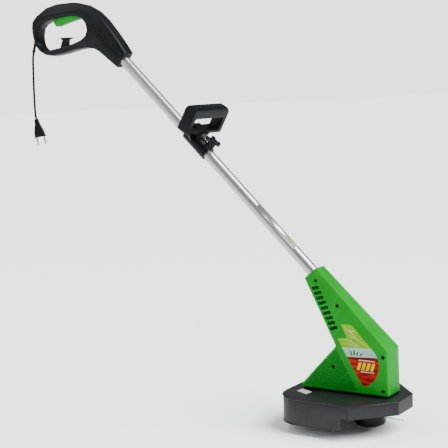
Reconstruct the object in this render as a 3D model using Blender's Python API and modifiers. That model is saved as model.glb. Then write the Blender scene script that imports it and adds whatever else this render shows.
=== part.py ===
"""Electric string trimmer: D-handle with trigger, straight tube, clamped loop handle, motor head and guard.

Metres, +Z up, +X towards the front of the head. The origin is the middle of the rear grip. The tool is
held as in use: the tube slopes down to the front and the head is level, with the cord hanging free.
"""

import math

import bmesh
import bpy
from mathutils import Matrix, Vector

MM = 0.001

# ---- driving dimensions -------------------------------------------------------------------------
GAP = 0.3 * MM  # what every touching pair keeps between its faces
SPLIT = GAP / 2  # each moulded half stops this far from the middle plane

TUBE_SLOPE = math.radians(44.2)  # below the horizontal, going forward
TUBE_RADIUS = 12.7 * MM
TUBE_WALL = 1.2 * MM
TUBE_BARE = 687 * MM  # bare tube between the rear handle and the motor housing
TUBE_IN_HANDLE = 70 * MM
TUBE_IN_HOUSING = 106 * MM

HANDLE_HALF = 17 * MM  # half the rear handle's thickness
HANDLE_WALL = 2.5 * MM
HANDLE_EDGE = 5.5 * MM
HANDLE_MOUTH = Vector((162 * MM, 0, -130.5 * MM))  # where the tube's axis leaves the handle

HOUSING_HALF = 28.7 * MM  # half the width of the motor bay
MOUTH_HALF = 17 * MM  # half the width of the housing at the tube
HOUSING_WALL = 2.5 * MM
HOUSING_EDGE = 2.5 * MM
HOUSING_FLOOR = 5 * MM  # underside of the housing above the guard

GUARD_HALF = 110 * MM
GUARD_WALL = 3 * MM
GUARD_FRONT_DEPTH = 28.7 * MM
GUARD_REAR_DEPTH = 57 * MM
GUARD_CORNER = 60 * MM

HEAD_RADIUS = 33.5 * MM
LINE_RADIUS = 1.0 * MM
LINE_TIP = 79.6 * MM  # how far the cutting line reaches from the spindle
SHAFT_RADIUS = 3.7 * MM

CORD_RADIUS = 2.75 * MM
LEAD_RADIUS = 2.5 * MM

AUX_HALF = 66 * MM  # half the outer width of the loop handle
AUX_LEG = 11 * MM
AUX_DEPTH = 30 * MM  # width of the loop's strap, along the tube
AUX_GRIP = 25.5 * MM  # height of the loop's grip
AUX_CLEAR = 33.5 * MM  # finger space under the grip
AUX_FLOOR = 6 * MM
AUX_RAKE = math.radians(13.3)
AUX_SLEEVE_RADIUS = TUBE_RADIUS + 4.3 * MM
AUX_BELOW_MOUTH = 269.4 * MM  # from the handle's mouth down the tube to the loop

SCREW_RADIUS = 1.5 * MM
SCREW_HEAD_RADIUS = 3.6 * MM
SCREW_HEAD = 2.3 * MM
SCREW_POCKET = 4.0 * MM
SCREW_BORE = SCREW_RADIUS + GAP


def mm(points):
    """The same points, given in millimetres, as tuples in metres."""
    return [tuple(value * MM for value in point) for point in points]


# ---- outlines, in millimetres from the grip's middle (handle) or from the spindle at the guard's top (head)
HANDLE_OUTER = mm([
    (-121.5, -33), (-119.5, -55), (-113, -77), (-100, -92), (-82, -102), (-56, -106), (-20, -102), (21, -95),
    (56, -93), (80, -97), (96, -106), (117, -122), (147, -144), (177, -113), (158, -86), (136, -58),
    (110, -28), (87, -8), (55, 9), (16, 18.5), (-35, 18.5), (-70, 12), (-102, -4), (-118, -18),
])
HANDLE_INNER = mm([
    (-105, -52), (-101, -37), (-90, -28), (-72, -21.5), (-40, -16), (0, -13), (25, -15), (44, -22), (56, -36),
    (59, -52), (52, -64), (36, -73), (6, -81), (-40, -88), (-72, -91.5), (-90, -89), (-101, -79), (-105, -66),
])
HANDLE_SCREWS = mm([(-95.5, -20), (-60, -98.3), (73, -60)])
HOOK_OUTLINE = mm([(-42, -95), (-17, -95), (-13, -68.5), (-2.5, -66.5), (-3, -63.5), (-35, -62.5), (-35.5, -66),
                   (-30, -69)])
HOOK_HALF = 5 * MM

TRIGGER_OUTLINE = mm([
    (-55, -18), (-52, -28), (-45.5, -35), (-38, -35), (-25, -32), (-10, -28.5), (15, -24), (37, -20.5),
    (39, -9), (36, -2.5), (28, -1.5), (-30, -4), (-54, -7),
])
TRIGGER_HALF = 7 * MM
TRIGGER_PIVOT = (31 * MM, -8 * MM)
PIN_RADIUS = 2 * MM
SPRING_X = -38 * MM
SPRING_COIL = 3.2 * MM
SPRING_WIRE = 0.5 * MM
SWITCH = ((-6 * MM, 3.5 * MM), (24 * MM, 13 * MM))  # low and high corner in X and Z
SWITCH_HALF = 7 * MM
PLUNGER_X = 13 * MM

HOUSING_NOSE_Z = 102 * MM
HOUSING_OUTLINE = mm([(-139, 243), (-109.5, 267), (58.5, 102), (58.5, 5), (-147, 5), (-150, 11), (-62.4, 102)])
HOUSING_TOP_Z = 267 * MM
TUBE_ENTRY = Vector((-126 * MM, 0, 254 * MM))  # the tube's axis at the housing's mouth
HOUSING_SCREWS = mm([(49, 88), (47.5, 15), (-69.8, 56)])
CROSS_SCREWS = [21.5 * MM, 94.5 * MM]  # housing screws through the tube, below the mouth
VENT_COUNT = 9
VENT_FIRST = Vector((-111.5 * MM, 0, 224.5 * MM))
VENT_STEP = Vector((5.6 * MM, 0, -10.4 * MM))
VENT_OUTLINE = mm([(-9, -5.5), (1, -5.5), (1, -3), (9, -3), (9, 3.6), (-0.5, 3.6), (-0.5, 1), (-9, 1)])

BOOT_START = Vector((-114 * MM, 0, -36 * MM))
BOOT_END = Vector((-134 * MM, 0, -92 * MM))
CORD_ROUTE = mm([
    (-134.1, 0, -92.3), (-136.6, 0, -101), (-138.2, 0, -112), (-139.4, 0, -128), (-140.6, 0, -150),
    (-141.8, 0, -176), (-142.6, 0, -200), (-143, 0, -219), (-143, 0, -235), (-142.3, 0, -249),
    (-141.2, 0, -258.7),
])
SUPPLY_ROUTE = mm([
    (-113.9, 0, -35.7), (-111, 0, -28), (-104, 3, -14.5), (-92, 7, -5), (-74, 9.5, 3), (-50, 10, 8.5), (-30, 9.5, 11),
    (-18, 5, 10), (-6.5, 3.6, 9.3),
])
PLUG_TOP = Vector((-141.2 * MM, 0, -259 * MM))
PLUG_YAW = math.radians(35)
PLUG_TILT = math.radians(-9.3)
PLUG_LENGTH = 47 * MM
PLUG_HALF = 7 * MM
PLUG_SIDE = mm([(5, 0), (5.5, -4), (6.2, -12), (9.5, -22), (12.6, -33), (13.5, -41), (13.5, -47)])
PLUG_PIN_RADIUS = 2.2 * MM
PLUG_PIN_SPACING = 19 * MM
PLUG_PIN_LENGTH = 19 * MM

MOTOR = {
    "stator": (36 * MM, 76 * MM), "armature": (34 * MM, 78 * MM), "commutator": (87 * MM, 103 * MM),
    "fan": (20 * MM, 30 * MM), "lower": (6 * MM, 13 * MM), "upper": (108 * MM, 115 * MM),
}
ARMATURE_RADIUS = 15.5 * MM
COMMUTATOR_RADIUS = 11 * MM
UPPER_BEARING_RADIUS = 9.5 * MM
LOWER_BEARING_RADIUS = 11 * MM
FAN_RADIUS = 23 * MM
SHAFT_TOP = 119 * MM
NUT_TOP = -69.3 * MM
NUT_BOTTOM = -77.7 * MM
LINE_LEVEL = -48.6 * MM


# ---- scene --------------------------------------------------------------------------------------
for old in list(bpy.data.objects):
    bpy.data.objects.remove(old)

PARTS = bpy.data.collections.new("string_trimmer")
CUTTERS = bpy.data.collections.new("cutters")
for group in (PARTS, CUTTERS):
    bpy.context.scene.collection.children.link(group)
CUTTERS.hide_render = True


def finish(name, colour, roughness, metallic=0.0):
    """A Principled material."""
    made = bpy.data.materials.new(name)
    made.use_nodes = True
    shader = made.node_tree.nodes["Principled BSDF"]
    shader.inputs["Base Color"].default_value = (*colour, 1)
    shader.inputs["Roughness"].default_value = roughness
    shader.inputs["Metallic"].default_value = metallic
    return made


BLACK = finish("black_plastic", (0.02, 0.022, 0.025), 0.45)
GREEN = finish("green_plastic", (0.02, 0.36, 0.05), 0.35)
TRIGGER_GREEN = finish("trigger_green", (0.03, 0.5, 0.1), 0.35)
GUARD_GREY = finish("guard_plastic", (0.05, 0.05, 0.055), 0.5)
ALUMINIUM = finish("brushed_aluminium", (0.78, 0.77, 0.74), 0.3, 1.0)
STEEL = finish("steel", (0.6, 0.6, 0.6), 0.35, 1.0)
DARK_STEEL = finish("black_steel", (0.06, 0.06, 0.06), 0.45, 1.0)
LAMINATION = finish("lamination_steel", (0.3, 0.3, 0.32), 0.5, 1.0)
COPPER = finish("copper", (0.7, 0.3, 0.14), 0.35, 1.0)
CARBON = finish("carbon", (0.03, 0.03, 0.03), 0.7)
BRASS = finish("brass", (0.75, 0.6, 0.25), 0.3, 1.0)
NICKEL = finish("nickel", (0.75, 0.73, 0.68), 0.2, 1.0)
RUBBER = finish("black_rubber", (0.015, 0.015, 0.017), 0.6)
LINE_GREEN = finish("green_line", (0.35, 0.75, 0.12), 0.4)
WHITE = finish("white_plastic", (0.8, 0.8, 0.78), 0.5)


def frame_at(name, location, rotation=(0, 0, 0), parent=None):
    """An empty that carries the pieces of one assembly."""
    made = bpy.data.objects.new(name, None)
    made.location = location
    made.rotation_euler = rotation
    made.parent = parent
    PARTS.objects.link(made)
    return made


TUBE_DOWN = Vector((math.cos(TUBE_SLOPE), 0, -math.sin(TUBE_SLOPE)))
HEAD_ORIGIN = HANDLE_MOUTH + TUBE_BARE * TUBE_DOWN - TUBE_ENTRY
# On the tube's frame +Z runs up the tube to the handle and +X is the side that faces up and forward.
TUBE_FRAME = frame_at("tube_frame", HANDLE_MOUTH, (0, TUBE_SLOPE - math.pi / 2, 0))
HEAD_FRAME = frame_at("head_frame", HEAD_ORIGIN)
AUX_FRAME = frame_at("aux_frame", (0, 0, -AUX_BELOW_MOUTH), (0, 0, 0), TUBE_FRAME)
LOOP_FRAME = frame_at("loop_frame", (0, 0, 0), (0, -AUX_RAKE, 0), AUX_FRAME)
PLUG_FRAME = frame_at("plug_frame", PLUG_TOP, (0, PLUG_TILT, PLUG_YAW))


# ---- modelling helpers --------------------------------------------------------------------------
def place(name, mesh, look, parent):
    """An object in the parts, or in the cutters when it has no finish."""
    made = bpy.data.objects.new(name, mesh)
    made.parent = parent
    if look is None:
        CUTTERS.objects.link(made)
        made.hide_render = True
        made.display_type = "WIRE"
    else:
        mesh.materials.append(look)
        PARTS.objects.link(made)
    return made


def from_bmesh(name, bm, look, parent):
    mesh = bpy.data.meshes.new(name)
    bm.to_mesh(mesh)
    bm.free()
    return place(name, mesh, look, parent)


def block(name, low, high, look=None, parent=None, matrix=None):
    """A box between two opposite corners, given in any order."""
    corners = list(zip(low, high))
    low = Vector([min(pair) for pair in corners])
    high = Vector([max(pair) for pair in corners])
    bm = bmesh.new()
    bmesh.ops.create_cube(bm, size=1)
    bmesh.ops.scale(bm, vec=high - low, verts=bm.verts)
    bmesh.ops.translate(bm, vec=(low + high) / 2, verts=bm.verts)
    if matrix is not None:
        bmesh.ops.transform(bm, matrix=matrix, verts=bm.verts)
    return from_bmesh(name, bm, look, parent)


def rod(name, start, end, radius, look=None, parent=None, sides=24, end_radius=None):
    """A round bar or a cone between two points."""
    start, end = Vector(start), Vector(end)
    turn = (end - start).to_track_quat("Z", "Y").to_matrix().to_4x4()
    bm = bmesh.new()
    bmesh.ops.create_cone(
        bm, cap_ends=True, segments=sides, radius1=radius, depth=(end - start).length,
        radius2=radius if end_radius is None else end_radius, matrix=Matrix.Translation((start + end) / 2) @ turn,
    )
    return from_bmesh(name, bm, look, parent)


def turned(name, profile, look=None, parent=None, steps=32, closed=True):
    """A profile of (radius, height) points turned about Z, outer side from top to bottom."""
    bm = bmesh.new()
    corners = [bm.verts.new((radius, 0, height)) for radius, height in profile]
    pairs = list(zip(corners, corners[1:]))
    if closed:
        pairs.append((corners[-1], corners[0]))
    for first, second in pairs:
        bm.edges.new((first, second))
    made = from_bmesh(name, bm, look, parent)
    screw = made.modifiers.new("turn", "SCREW")
    screw.steps = screw.render_steps = steps
    screw.use_merge_vertices = True
    screw.merge_threshold = 0.00005
    return made


def plate(name, outlines, low, high, look=None, parent=None, plane="XZ", inset=0.0, edge=0.0):
    """A flat plate with holes: closed outlines in XZ, extruded in Y from low to high, or in XY along Z.

    inset draws every outline into the material, and edge rounds both rims.
    """
    curve = bpy.data.curves.new(name, "CURVE")
    curve.dimensions = "2D"
    curve.fill_mode = "BOTH"
    curve.extrude = (high - low) / 2 - edge
    curve.bevel_depth = edge
    curve.bevel_resolution = 1
    curve.offset = -inset - edge
    for outline in outlines:
        spline = curve.splines.new("POLY")
        spline.points.add(len(outline) - 1)
        for point, (across, up) in zip(spline.points, outline):
            point.co = (across, up, 0, 1)
        spline.use_cyclic_u = True
    draft = bpy.data.objects.new(name + "_draft", curve)
    CUTTERS.objects.link(draft)
    mesh = bpy.data.meshes.new_from_object(draft.evaluated_get(bpy.context.evaluated_depsgraph_get()))
    bpy.data.objects.remove(draft)
    bm = bmesh.new()
    bm.from_mesh(mesh)
    bmesh.ops.remove_doubles(bm, verts=bm.verts, dist=0.000001)
    if plane == "XZ":
        bmesh.ops.rotate(bm, verts=bm.verts, matrix=Matrix.Rotation(math.pi / 2, 3, "X"))
        bmesh.ops.translate(bm, verts=bm.verts, vec=(0, (low + high) / 2, 0))
    else:
        bmesh.ops.translate(bm, verts=bm.verts, vec=(0, 0, (low + high) / 2))
    bmesh.ops.recalc_face_normals(bm, faces=bm.faces)
    return from_bmesh(name, bm, look, parent)


def smooth_route(points, spacing):
    """Points at an even spacing along a smooth curve through the route's own points."""
    points = [Vector(point) for point in points]
    padded = [2 * points[0] - points[1], *points, 2 * points[-1] - points[-2]]
    fine = []
    for a, b, c, d in zip(padded, padded[1:], padded[2:], padded[3:]):
        for step in range(24):
            t = step / 24
            fine.append(0.5 * (2 * b + (c - a) * t + (2 * a - 5 * b + 4 * c - d) * t**2
                               + (3 * b - a - 3 * c + d) * t**3))
    fine.append(points[-1])
    lengths = [0.0]
    for first, second in zip(fine, fine[1:]):
        lengths.append(lengths[-1] + (second - first).length)
    count = max(3, round(lengths[-1] / spacing))
    route = []
    index = 0
    for step in range(count + 1):
        wanted = lengths[-1] * step / count
        while index < len(lengths) - 2 and lengths[index + 1] < wanted:
            index += 1
        share = (wanted - lengths[index]) / (lengths[index + 1] - lengths[index])
        route.append(fine[index].lerp(fine[index + 1], share))
    return route


def wire(name, points, radius, look, parent=None, resolution=2):
    """A round wire, lead or cord along points."""
    curve = bpy.data.curves.new(name, "CURVE")
    curve.dimensions = "3D"
    curve.bevel_depth = radius
    curve.bevel_resolution = resolution
    curve.use_fill_caps = True
    spline = curve.splines.new("POLY")
    spline.points.add(len(points) - 1)
    for point, place_at in zip(spline.points, points):
        point.co = (*place_at, 1)
    curve.materials.append(look)
    made = bpy.data.objects.new(name, curve)
    made.parent = parent
    PARTS.objects.link(made)
    return made


def boolean(target, tools, operation):
    for tool in tools:
        modifier = target.modifiers.new(tool.name, "BOOLEAN")
        modifier.operation = operation
        modifier.solver = "EXACT"
        modifier.object = tool
    return target


def cut(target, *tools):
    return boolean(target, tools, "DIFFERENCE")


def join(target, *tools):
    return boolean(target, tools, "UNION")


def round_edges(target, width, segments=2, angle=50):
    bevel = target.modifiers.new("round", "BEVEL")
    bevel.width = width
    bevel.segments = segments
    bevel.limit_method = "ANGLE"
    bevel.angle_limit = math.radians(angle)
    bevel.use_clamp_overlap = True
    return target


def thicken(target, wall):
    solid = target.modifiers.new("wall", "SOLIDIFY")
    solid.thickness = wall
    solid.offset = -1
    solid.use_even_offset = True
    return target


def face_outwards(bm, outward):
    """Turns an open surface so that its largest face that lies across outward looks that way."""
    bmesh.ops.recalc_face_normals(bm, faces=bm.faces)
    outward = Vector(outward)
    largest = max(bm.faces, key=lambda face: abs(face.normal.dot(outward)) * face.calc_area())
    if largest.normal.dot(outward) < 0:
        bmesh.ops.reverse_faces(bm, faces=bm.faces)


def half_shell(name, outline, side, half_at, faces, look, parent, edge, wall):
    """A moulded half: side faces and surrounding walls as an open surface, rounded and then given its wall.

    side is -1 or 1 along Y. half_at gives the half width at a height. faces lists the flat faces of the
    side as indices into the outline.
    """
    bm = bmesh.new()
    rim = [bm.verts.new((x, SPLIT, z)) for x, z in outline]
    outer = [bm.verts.new((x, half_at(z), z)) for x, z in outline]
    for i in range(len(rim)):
        j = (i + 1) % len(rim)
        bm.faces.new((rim[i], rim[j], outer[j], outer[i]))
    for corners in faces:
        bm.faces.new([outer[i] for i in corners])
    if side < 0:
        bmesh.ops.scale(bm, vec=(1, -1, 1), verts=bm.verts)
    face_outwards(bm, (0, side, 0))
    made = from_bmesh(name, bm, look, parent)
    round_edges(made, edge)
    return thicken(made, wall)


def screw_piece(name, x, z, seat, tip, head_side, look, parent):
    """A countersunk-hole screw along Y: seat is under its head, tip its end, both as distances on the head's side."""
    length = seat - tip
    profile = [(0, SCREW_HEAD), (SCREW_HEAD_RADIUS, SCREW_HEAD), (SCREW_HEAD_RADIUS, 0), (SCREW_RADIUS, 0),
               (SCREW_RADIUS, -length), (0, -length)]
    made = turned(name, profile, look, parent, steps=16, closed=False)
    made.location = (x, head_side * seat, z)
    made.rotation_euler = (-head_side * math.pi / 2, 0, 0)
    return made


def screw_hole(name, x, z, seat, tip, head_side, outside, parent):
    """The cutters of a screw: its pocket from the outside and its bore."""
    floor = head_side * (seat - GAP)
    return (
        rod(name + "_pocket", (x, head_side * outside, z), (x, floor, z), SCREW_POCKET, None, parent, 16),
        rod(name + "_bore", (x, floor + head_side * MM, z), (x, head_side * (tip - GAP), z), SCREW_BORE, None, parent,
            12),
    )


def boss(name, x, z, side, outer, radius, parent):
    return rod(name, (x, side * outer, z), (x, side * SPLIT, z), radius, None, parent, 16)


# ---- rear handle --------------------------------------------------------------------------------
SCREW_SEAT = 11 * MM
SCREW_TIP = -9 * MM
CROSS_SEAT = TUBE_RADIUS + 3 * MM
HANDLE_INSIDE = HANDLE_HALF - HANDLE_WALL
HANDLE_CROSS = 45 * MM  # the handle's screw through the tube, above the mouth
HANDLE_CROSS_SEAT = TUBE_RADIUS + 1.5 * MM
HANDLE_CROSS_TIP = TUBE_RADIUS + 1.3 * MM


def tube_clearance(name, low, high):
    return rod(name, (0, 0, low), (0, 0, high), TUBE_RADIUS + GAP, None, TUBE_FRAME, 32)


def handle_shell(name, side):
    """One half of the rear handle, with its screw posts, tube cradles, pivot seat and half of the cord hook."""
    loops = [HANDLE_OUTER, HANDLE_INNER]
    shell = plate(name, loops, -HANDLE_HALF, HANDLE_HALF, BLACK, edge=HANDLE_EDGE)
    cut(shell, plate(f"{name}_hollow", loops, -HANDLE_INSIDE, HANDLE_INSIDE, inset=HANDLE_WALL,
                     edge=HANDLE_EDGE - HANDLE_WALL))
    middle = HANDLE_HALF - HANDLE_WALL / 2
    head_side = 1
    for index, (x, z) in enumerate(HANDLE_SCREWS):
        join(shell, boss(f"{name}_post_{index}", x, z, side, middle, SCREW_POCKET + 1 * MM, None))
    for index, height in enumerate((6 * MM, TUBE_IN_HANDLE - 8 * MM)):
        reach = 17 * MM
        low = (-reach, side * SPLIT, height - 2 * MM)
        high = (reach, side * middle, height + 2 * MM)
        join(shell, block(f"{name}_cradle_{index}", low, high, None, TUBE_FRAME))
    screw_web = block(f"{name}_screw_web", (-7 * MM, side * 10 * MM, HANDLE_CROSS - 6 * MM),
                      (7 * MM, side * middle, HANDLE_CROSS + 6 * MM), None, TUBE_FRAME)
    (low_x, low_z), (high_x, high_z) = SWITCH
    rest = block(f"{name}_switch_rest", (low_x + 4 * MM, side * (SWITCH_HALF + GAP), low_z + 2 * MM),
                 (high_x - 4 * MM, side * middle, high_z - 2 * MM))
    hook = plate(f"{name}_hook", [HOOK_OUTLINE], *sorted((side * SPLIT, side * HOOK_HALF)))
    join(shell, screw_web, rest, hook)
    cut(shell, block(f"{name}_other_half", (-200 * MM, side * SPLIT, -200 * MM), (250 * MM, -side * 60 * MM, 60 * MM)))
    cut(shell, tube_clearance(f"{name}_tube_room", -30 * MM, TUBE_IN_HANDLE + GAP))
    slot = block(f"{name}_trigger_slot", (-58.5 * MM, -TRIGGER_HALF - 0.6 * MM, -37 * MM),
                 (42 * MM, TRIGGER_HALF + 0.6 * MM, -9.5 * MM))
    cut(shell, slot)
    for index, (x, z) in enumerate(HANDLE_SCREWS):
        cut(shell, *screw_hole(f"{name}_screw_{index}", x, z, SCREW_SEAT, SCREW_TIP, head_side, 20 * MM, None))
    cross = HANDLE_CROSS
    cut(
        shell,
        rod(f"{name}_cross_pocket", (0, HANDLE_HALF + 3 * MM, cross), (0, HANDLE_CROSS_SEAT - GAP, cross),
            SCREW_POCKET, None, TUBE_FRAME, 16),
        rod(f"{name}_cross_bore", (0, HANDLE_HALF + 1 * MM, cross), (0, -HANDLE_CROSS_TIP - 0.5 * MM, cross),
            SCREW_BORE, None, TUBE_FRAME, 12),
        boot_room(f"{name}_boot_room"),
    )
    return shell


def boot_room(name):
    outward = (BOOT_END - BOOT_START).normalized()
    return rod(name, BOOT_START - 3 * MM * outward, BOOT_END, BOOT_TOP_RADIUS + GAP, None, None, 20)


BOOT_TOP_RADIUS = 4.2 * MM
handle_right = handle_shell("handle_shell_right", -1)
handle_left = handle_shell("handle_shell_left", 1)
for number, (screw_x, screw_z) in enumerate(HANDLE_SCREWS, 1):
    screw_piece(f"handle_screw_{number}", screw_x, screw_z, SCREW_SEAT, SCREW_TIP, 1, DARK_STEEL, None)
screw_piece("handle_tube_screw", 0, HANDLE_CROSS, HANDLE_CROSS_SEAT, -HANDLE_CROSS_TIP, 1, DARK_STEEL, TUBE_FRAME)


def trigger_group():
    """Trigger on its cross pin, its return spring, and the switch that it presses."""
    pivot = frame_at("trigger_axis", (TRIGGER_PIVOT[0], 0, TRIGGER_PIVOT[1]))
    outline = [(x - TRIGGER_PIVOT[0], z - TRIGGER_PIVOT[1]) for x, z in TRIGGER_OUTLINE]
    trigger = plate("trigger", [outline], -TRIGGER_HALF, TRIGGER_HALF, TRIGGER_GREEN, pivot)
    round_edges(trigger, 1.5 * MM, 2)
    cut(trigger, rod("trigger_bore", (0, -10 * MM, 0), (0, 10 * MM, 0), PIN_RADIUS + 0.25 * MM, None, pivot, 20))
    reach = HANDLE_INSIDE - GAP
    rod("trigger_pin", (TRIGGER_PIVOT[0], -reach, TRIGGER_PIVOT[1]), (TRIGGER_PIVOT[0], reach, TRIGGER_PIVOT[1]),
        PIN_RADIUS, STEEL, None, 20)
    share = (SPRING_X - TRIGGER_OUTLINE[12][0]) / (TRIGGER_OUTLINE[11][0] - TRIGGER_OUTLINE[12][0])
    top_of_trigger = TRIGGER_OUTLINE[12][1] + share * (TRIGGER_OUTLINE[11][1] - TRIGGER_OUTLINE[12][1])
    bottom = top_of_trigger + SPRING_WIRE + 0.5 * MM
    roof = HANDLE_OUTER[20][1] - HANDLE_WALL
    top = roof - SPRING_WIRE - GAP
    turns = 6
    steps = turns * 10
    helix = []
    for step in range(steps + 1):
        angle = 2 * math.pi * turns * step / steps
        rise = bottom + (top - bottom) * step / steps
        helix.append((SPRING_X + SPRING_COIL * math.cos(angle), SPRING_COIL * math.sin(angle), rise))
    wire("trigger_spring", helix, SPRING_WIRE, STEEL, None, 1)
    (low_x, low_z), (high_x, high_z) = SWITCH
    body = block("switch_body", (low_x, -SWITCH_HALF, low_z), (high_x, SWITCH_HALF, high_z), BLACK)
    round_edges(body, 0.8 * MM, 1)
    cut(body, rod("plunger_bore", (PLUNGER_X, 0, low_z - 1 * MM), (PLUNGER_X, 0, low_z + 6 * MM), 2.3 * MM, None, None,
                  16))
    rod("switch_plunger", (PLUNGER_X, 0, PLUNGER_FOOT), (PLUNGER_X, 0, low_z + 2.5 * MM), 2 * MM, WHITE, None, 16)


PLUNGER_FOOT = -1.7 * MM
trigger_group()


# ---- mains cord ---------------------------------------------------------------------------------
def cord_group():
    """Strain-relief boot, the free cord, its two-pin plug, and the lead on to the switch."""
    boot_axis = BOOT_END - BOOT_START
    boot = frame_at("boot_axis", BOOT_START, boot_axis.to_track_quat("Z", "Y").to_euler())
    length = boot_axis.length
    bore = CORD_RADIUS + 0.1 * MM
    profile = [(bore, length), (4.7 * MM, length), (4.7 * MM, length - 3 * MM), (3.4 * MM, length - 3.4 * MM),
               (BOOT_TOP_RADIUS, length - 32 * MM), (BOOT_TOP_RADIUS, 0), (bore, 0)]
    turned("cord_boot", profile, RUBBER, boot, steps=20)
    wire("power_cord", smooth_route(CORD_ROUTE, 6.5 * MM), CORD_RADIUS, RUBBER)
    wire("supply_lead", smooth_route(SUPPLY_ROUTE, 6 * MM), LEAD_RADIUS, RUBBER)
    outline = PLUG_SIDE + [(-x, z) for x, z in reversed(PLUG_SIDE)]
    body = plate("plug_body", [outline], -PLUG_HALF, PLUG_HALF, RUBBER, PLUG_FRAME)
    round_edges(body, 1.8 * MM, 2, 60)
    for number, side in ((1, -1), (2, 1)):
        x = side * PLUG_PIN_SPACING / 2
        root = -PLUG_LENGTH - GAP
        rod(f"plug_pin_{number}", (x, 0, root), (x, 0, root - PLUG_PIN_LENGTH), PLUG_PIN_RADIUS, NICKEL, PLUG_FRAME,
            16, PLUG_PIN_RADIUS * 0.85)


cord_group()


# ---- tube and motor lead ------------------------------------------------------------------------
def tube_group():
    """The tube with its cross holes, and the lead that lies on its lower wall from the switch to the motor."""
    low, high = -TUBE_BARE - TUBE_IN_HOUSING, TUBE_IN_HANDLE
    inside = TUBE_RADIUS - TUBE_WALL
    turned("main_tube", [(inside, high), (TUBE_RADIUS, high), (TUBE_RADIUS, low), (inside, low)], ALUMINIUM,
           TUBE_FRAME, steps=32)
    tube = bpy.data.objects["main_tube"]
    heights = [HANDLE_CROSS] + [-TUBE_BARE - depth for depth in CROSS_SCREWS]
    for index, height in enumerate(heights):
        cut(tube, rod(f"tube_cross_{index}", (0, -20 * MM, height), (0, 20 * MM, height), SCREW_BORE + 0.2 * MM, None,
                      TUBE_FRAME, 12))
    bpy.context.view_layer.update()
    to_world = Matrix.Translation(HANDLE_MOUTH) @ Matrix.Rotation(TUBE_SLOPE - math.pi / 2, 4, "Y")
    lying = -(inside - LEAD_RADIUS - GAP)
    from_switch = [Vector(p) for p in mm([(25.2, 0, 8.5), (38, 0, 4.5), (58, 0, -6), (78, 0, -24), (92, 0, -48)])]
    heights = (high - 8 * MM, high - 40 * MM, 0, low / 3, 2 * low / 3, low + 30 * MM, low + 4 * MM)
    in_tube = [to_world @ Vector((lying / 2, 0, high + 12 * MM))]
    in_tube += [to_world @ Vector((lying, 0, height)) for height in heights]
    to_motor = [HEAD_ORIGIN + Vector(p) for p in
                mm([(-44, -6, 158), (-32, -12, 134), (-25, -17, 114), (-19, -19.5, 102), (-9.5, -20, 97)])]
    wire("motor_lead", smooth_route(from_switch + in_tube + to_motor, 13 * MM), LEAD_RADIUS, RUBBER, None, 1)


tube_group()


# ---- loop handle clamped on the tube ------------------------------------------------------------
KNOB_DROP = 40 * MM  # knob's axis below the loop, along the tube
SLEEVE_TOP = 24 * MM
SLEEVE_BOTTOM = -48.5 * MM
BOSS_TOP = TUBE_RADIUS + 8.8 * MM
SHOE = (TUBE_RADIUS + GAP, TUBE_RADIUS + GAP + 1.5 * MM)
NUT = (SHOE[1] + GAP, SHOE[1] + GAP + 4.4 * MM)
KNOB = (BOSS_TOP + GAP, BOSS_TOP + GAP + 14.7 * MM)
KNOB_REACH = 17.5 * MM
KNOB_LOBE = 4 * MM
STUD_RADIUS = 2.9 * MM


def loop_outline_points(half, low, high, corner_low, corner_high, steps=4):
    """The loop's outline as (up, across): round corners at the grip, and at the floor."""
    points = []
    corners = (
        (high - corner_high, half - corner_high, corner_high, 0),
        (high - corner_high, corner_high - half, corner_high, -1),
        (low + corner_low, corner_low - half, corner_low, -2),
        (low + corner_low, half - corner_low, corner_low, -3),
    )
    for up, across, radius, quarter in corners:
        for step in range(steps + 1):
            angle = math.pi / 2 * (quarter + 1 - step / steps)
            points.append((up + radius * math.cos(angle), across + radius * math.sin(angle)))
    return points


def grip_profile(low, high, half):
    """The loop seen from its side as (up, along): straight edges below, round over the grip."""
    radius = half - 3 * MM
    arc = []
    for step in range(5):
        angle = math.pi / 2 * (1 - step / 4)
        arc.append((high - radius * (1 - math.cos(angle)), half - radius * (1 - math.sin(angle))))
    clear = half + 2 * MM
    return [(low, -clear), (low, clear), *arc, *[(up, -along) for up, along in reversed(arc)]]


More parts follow.
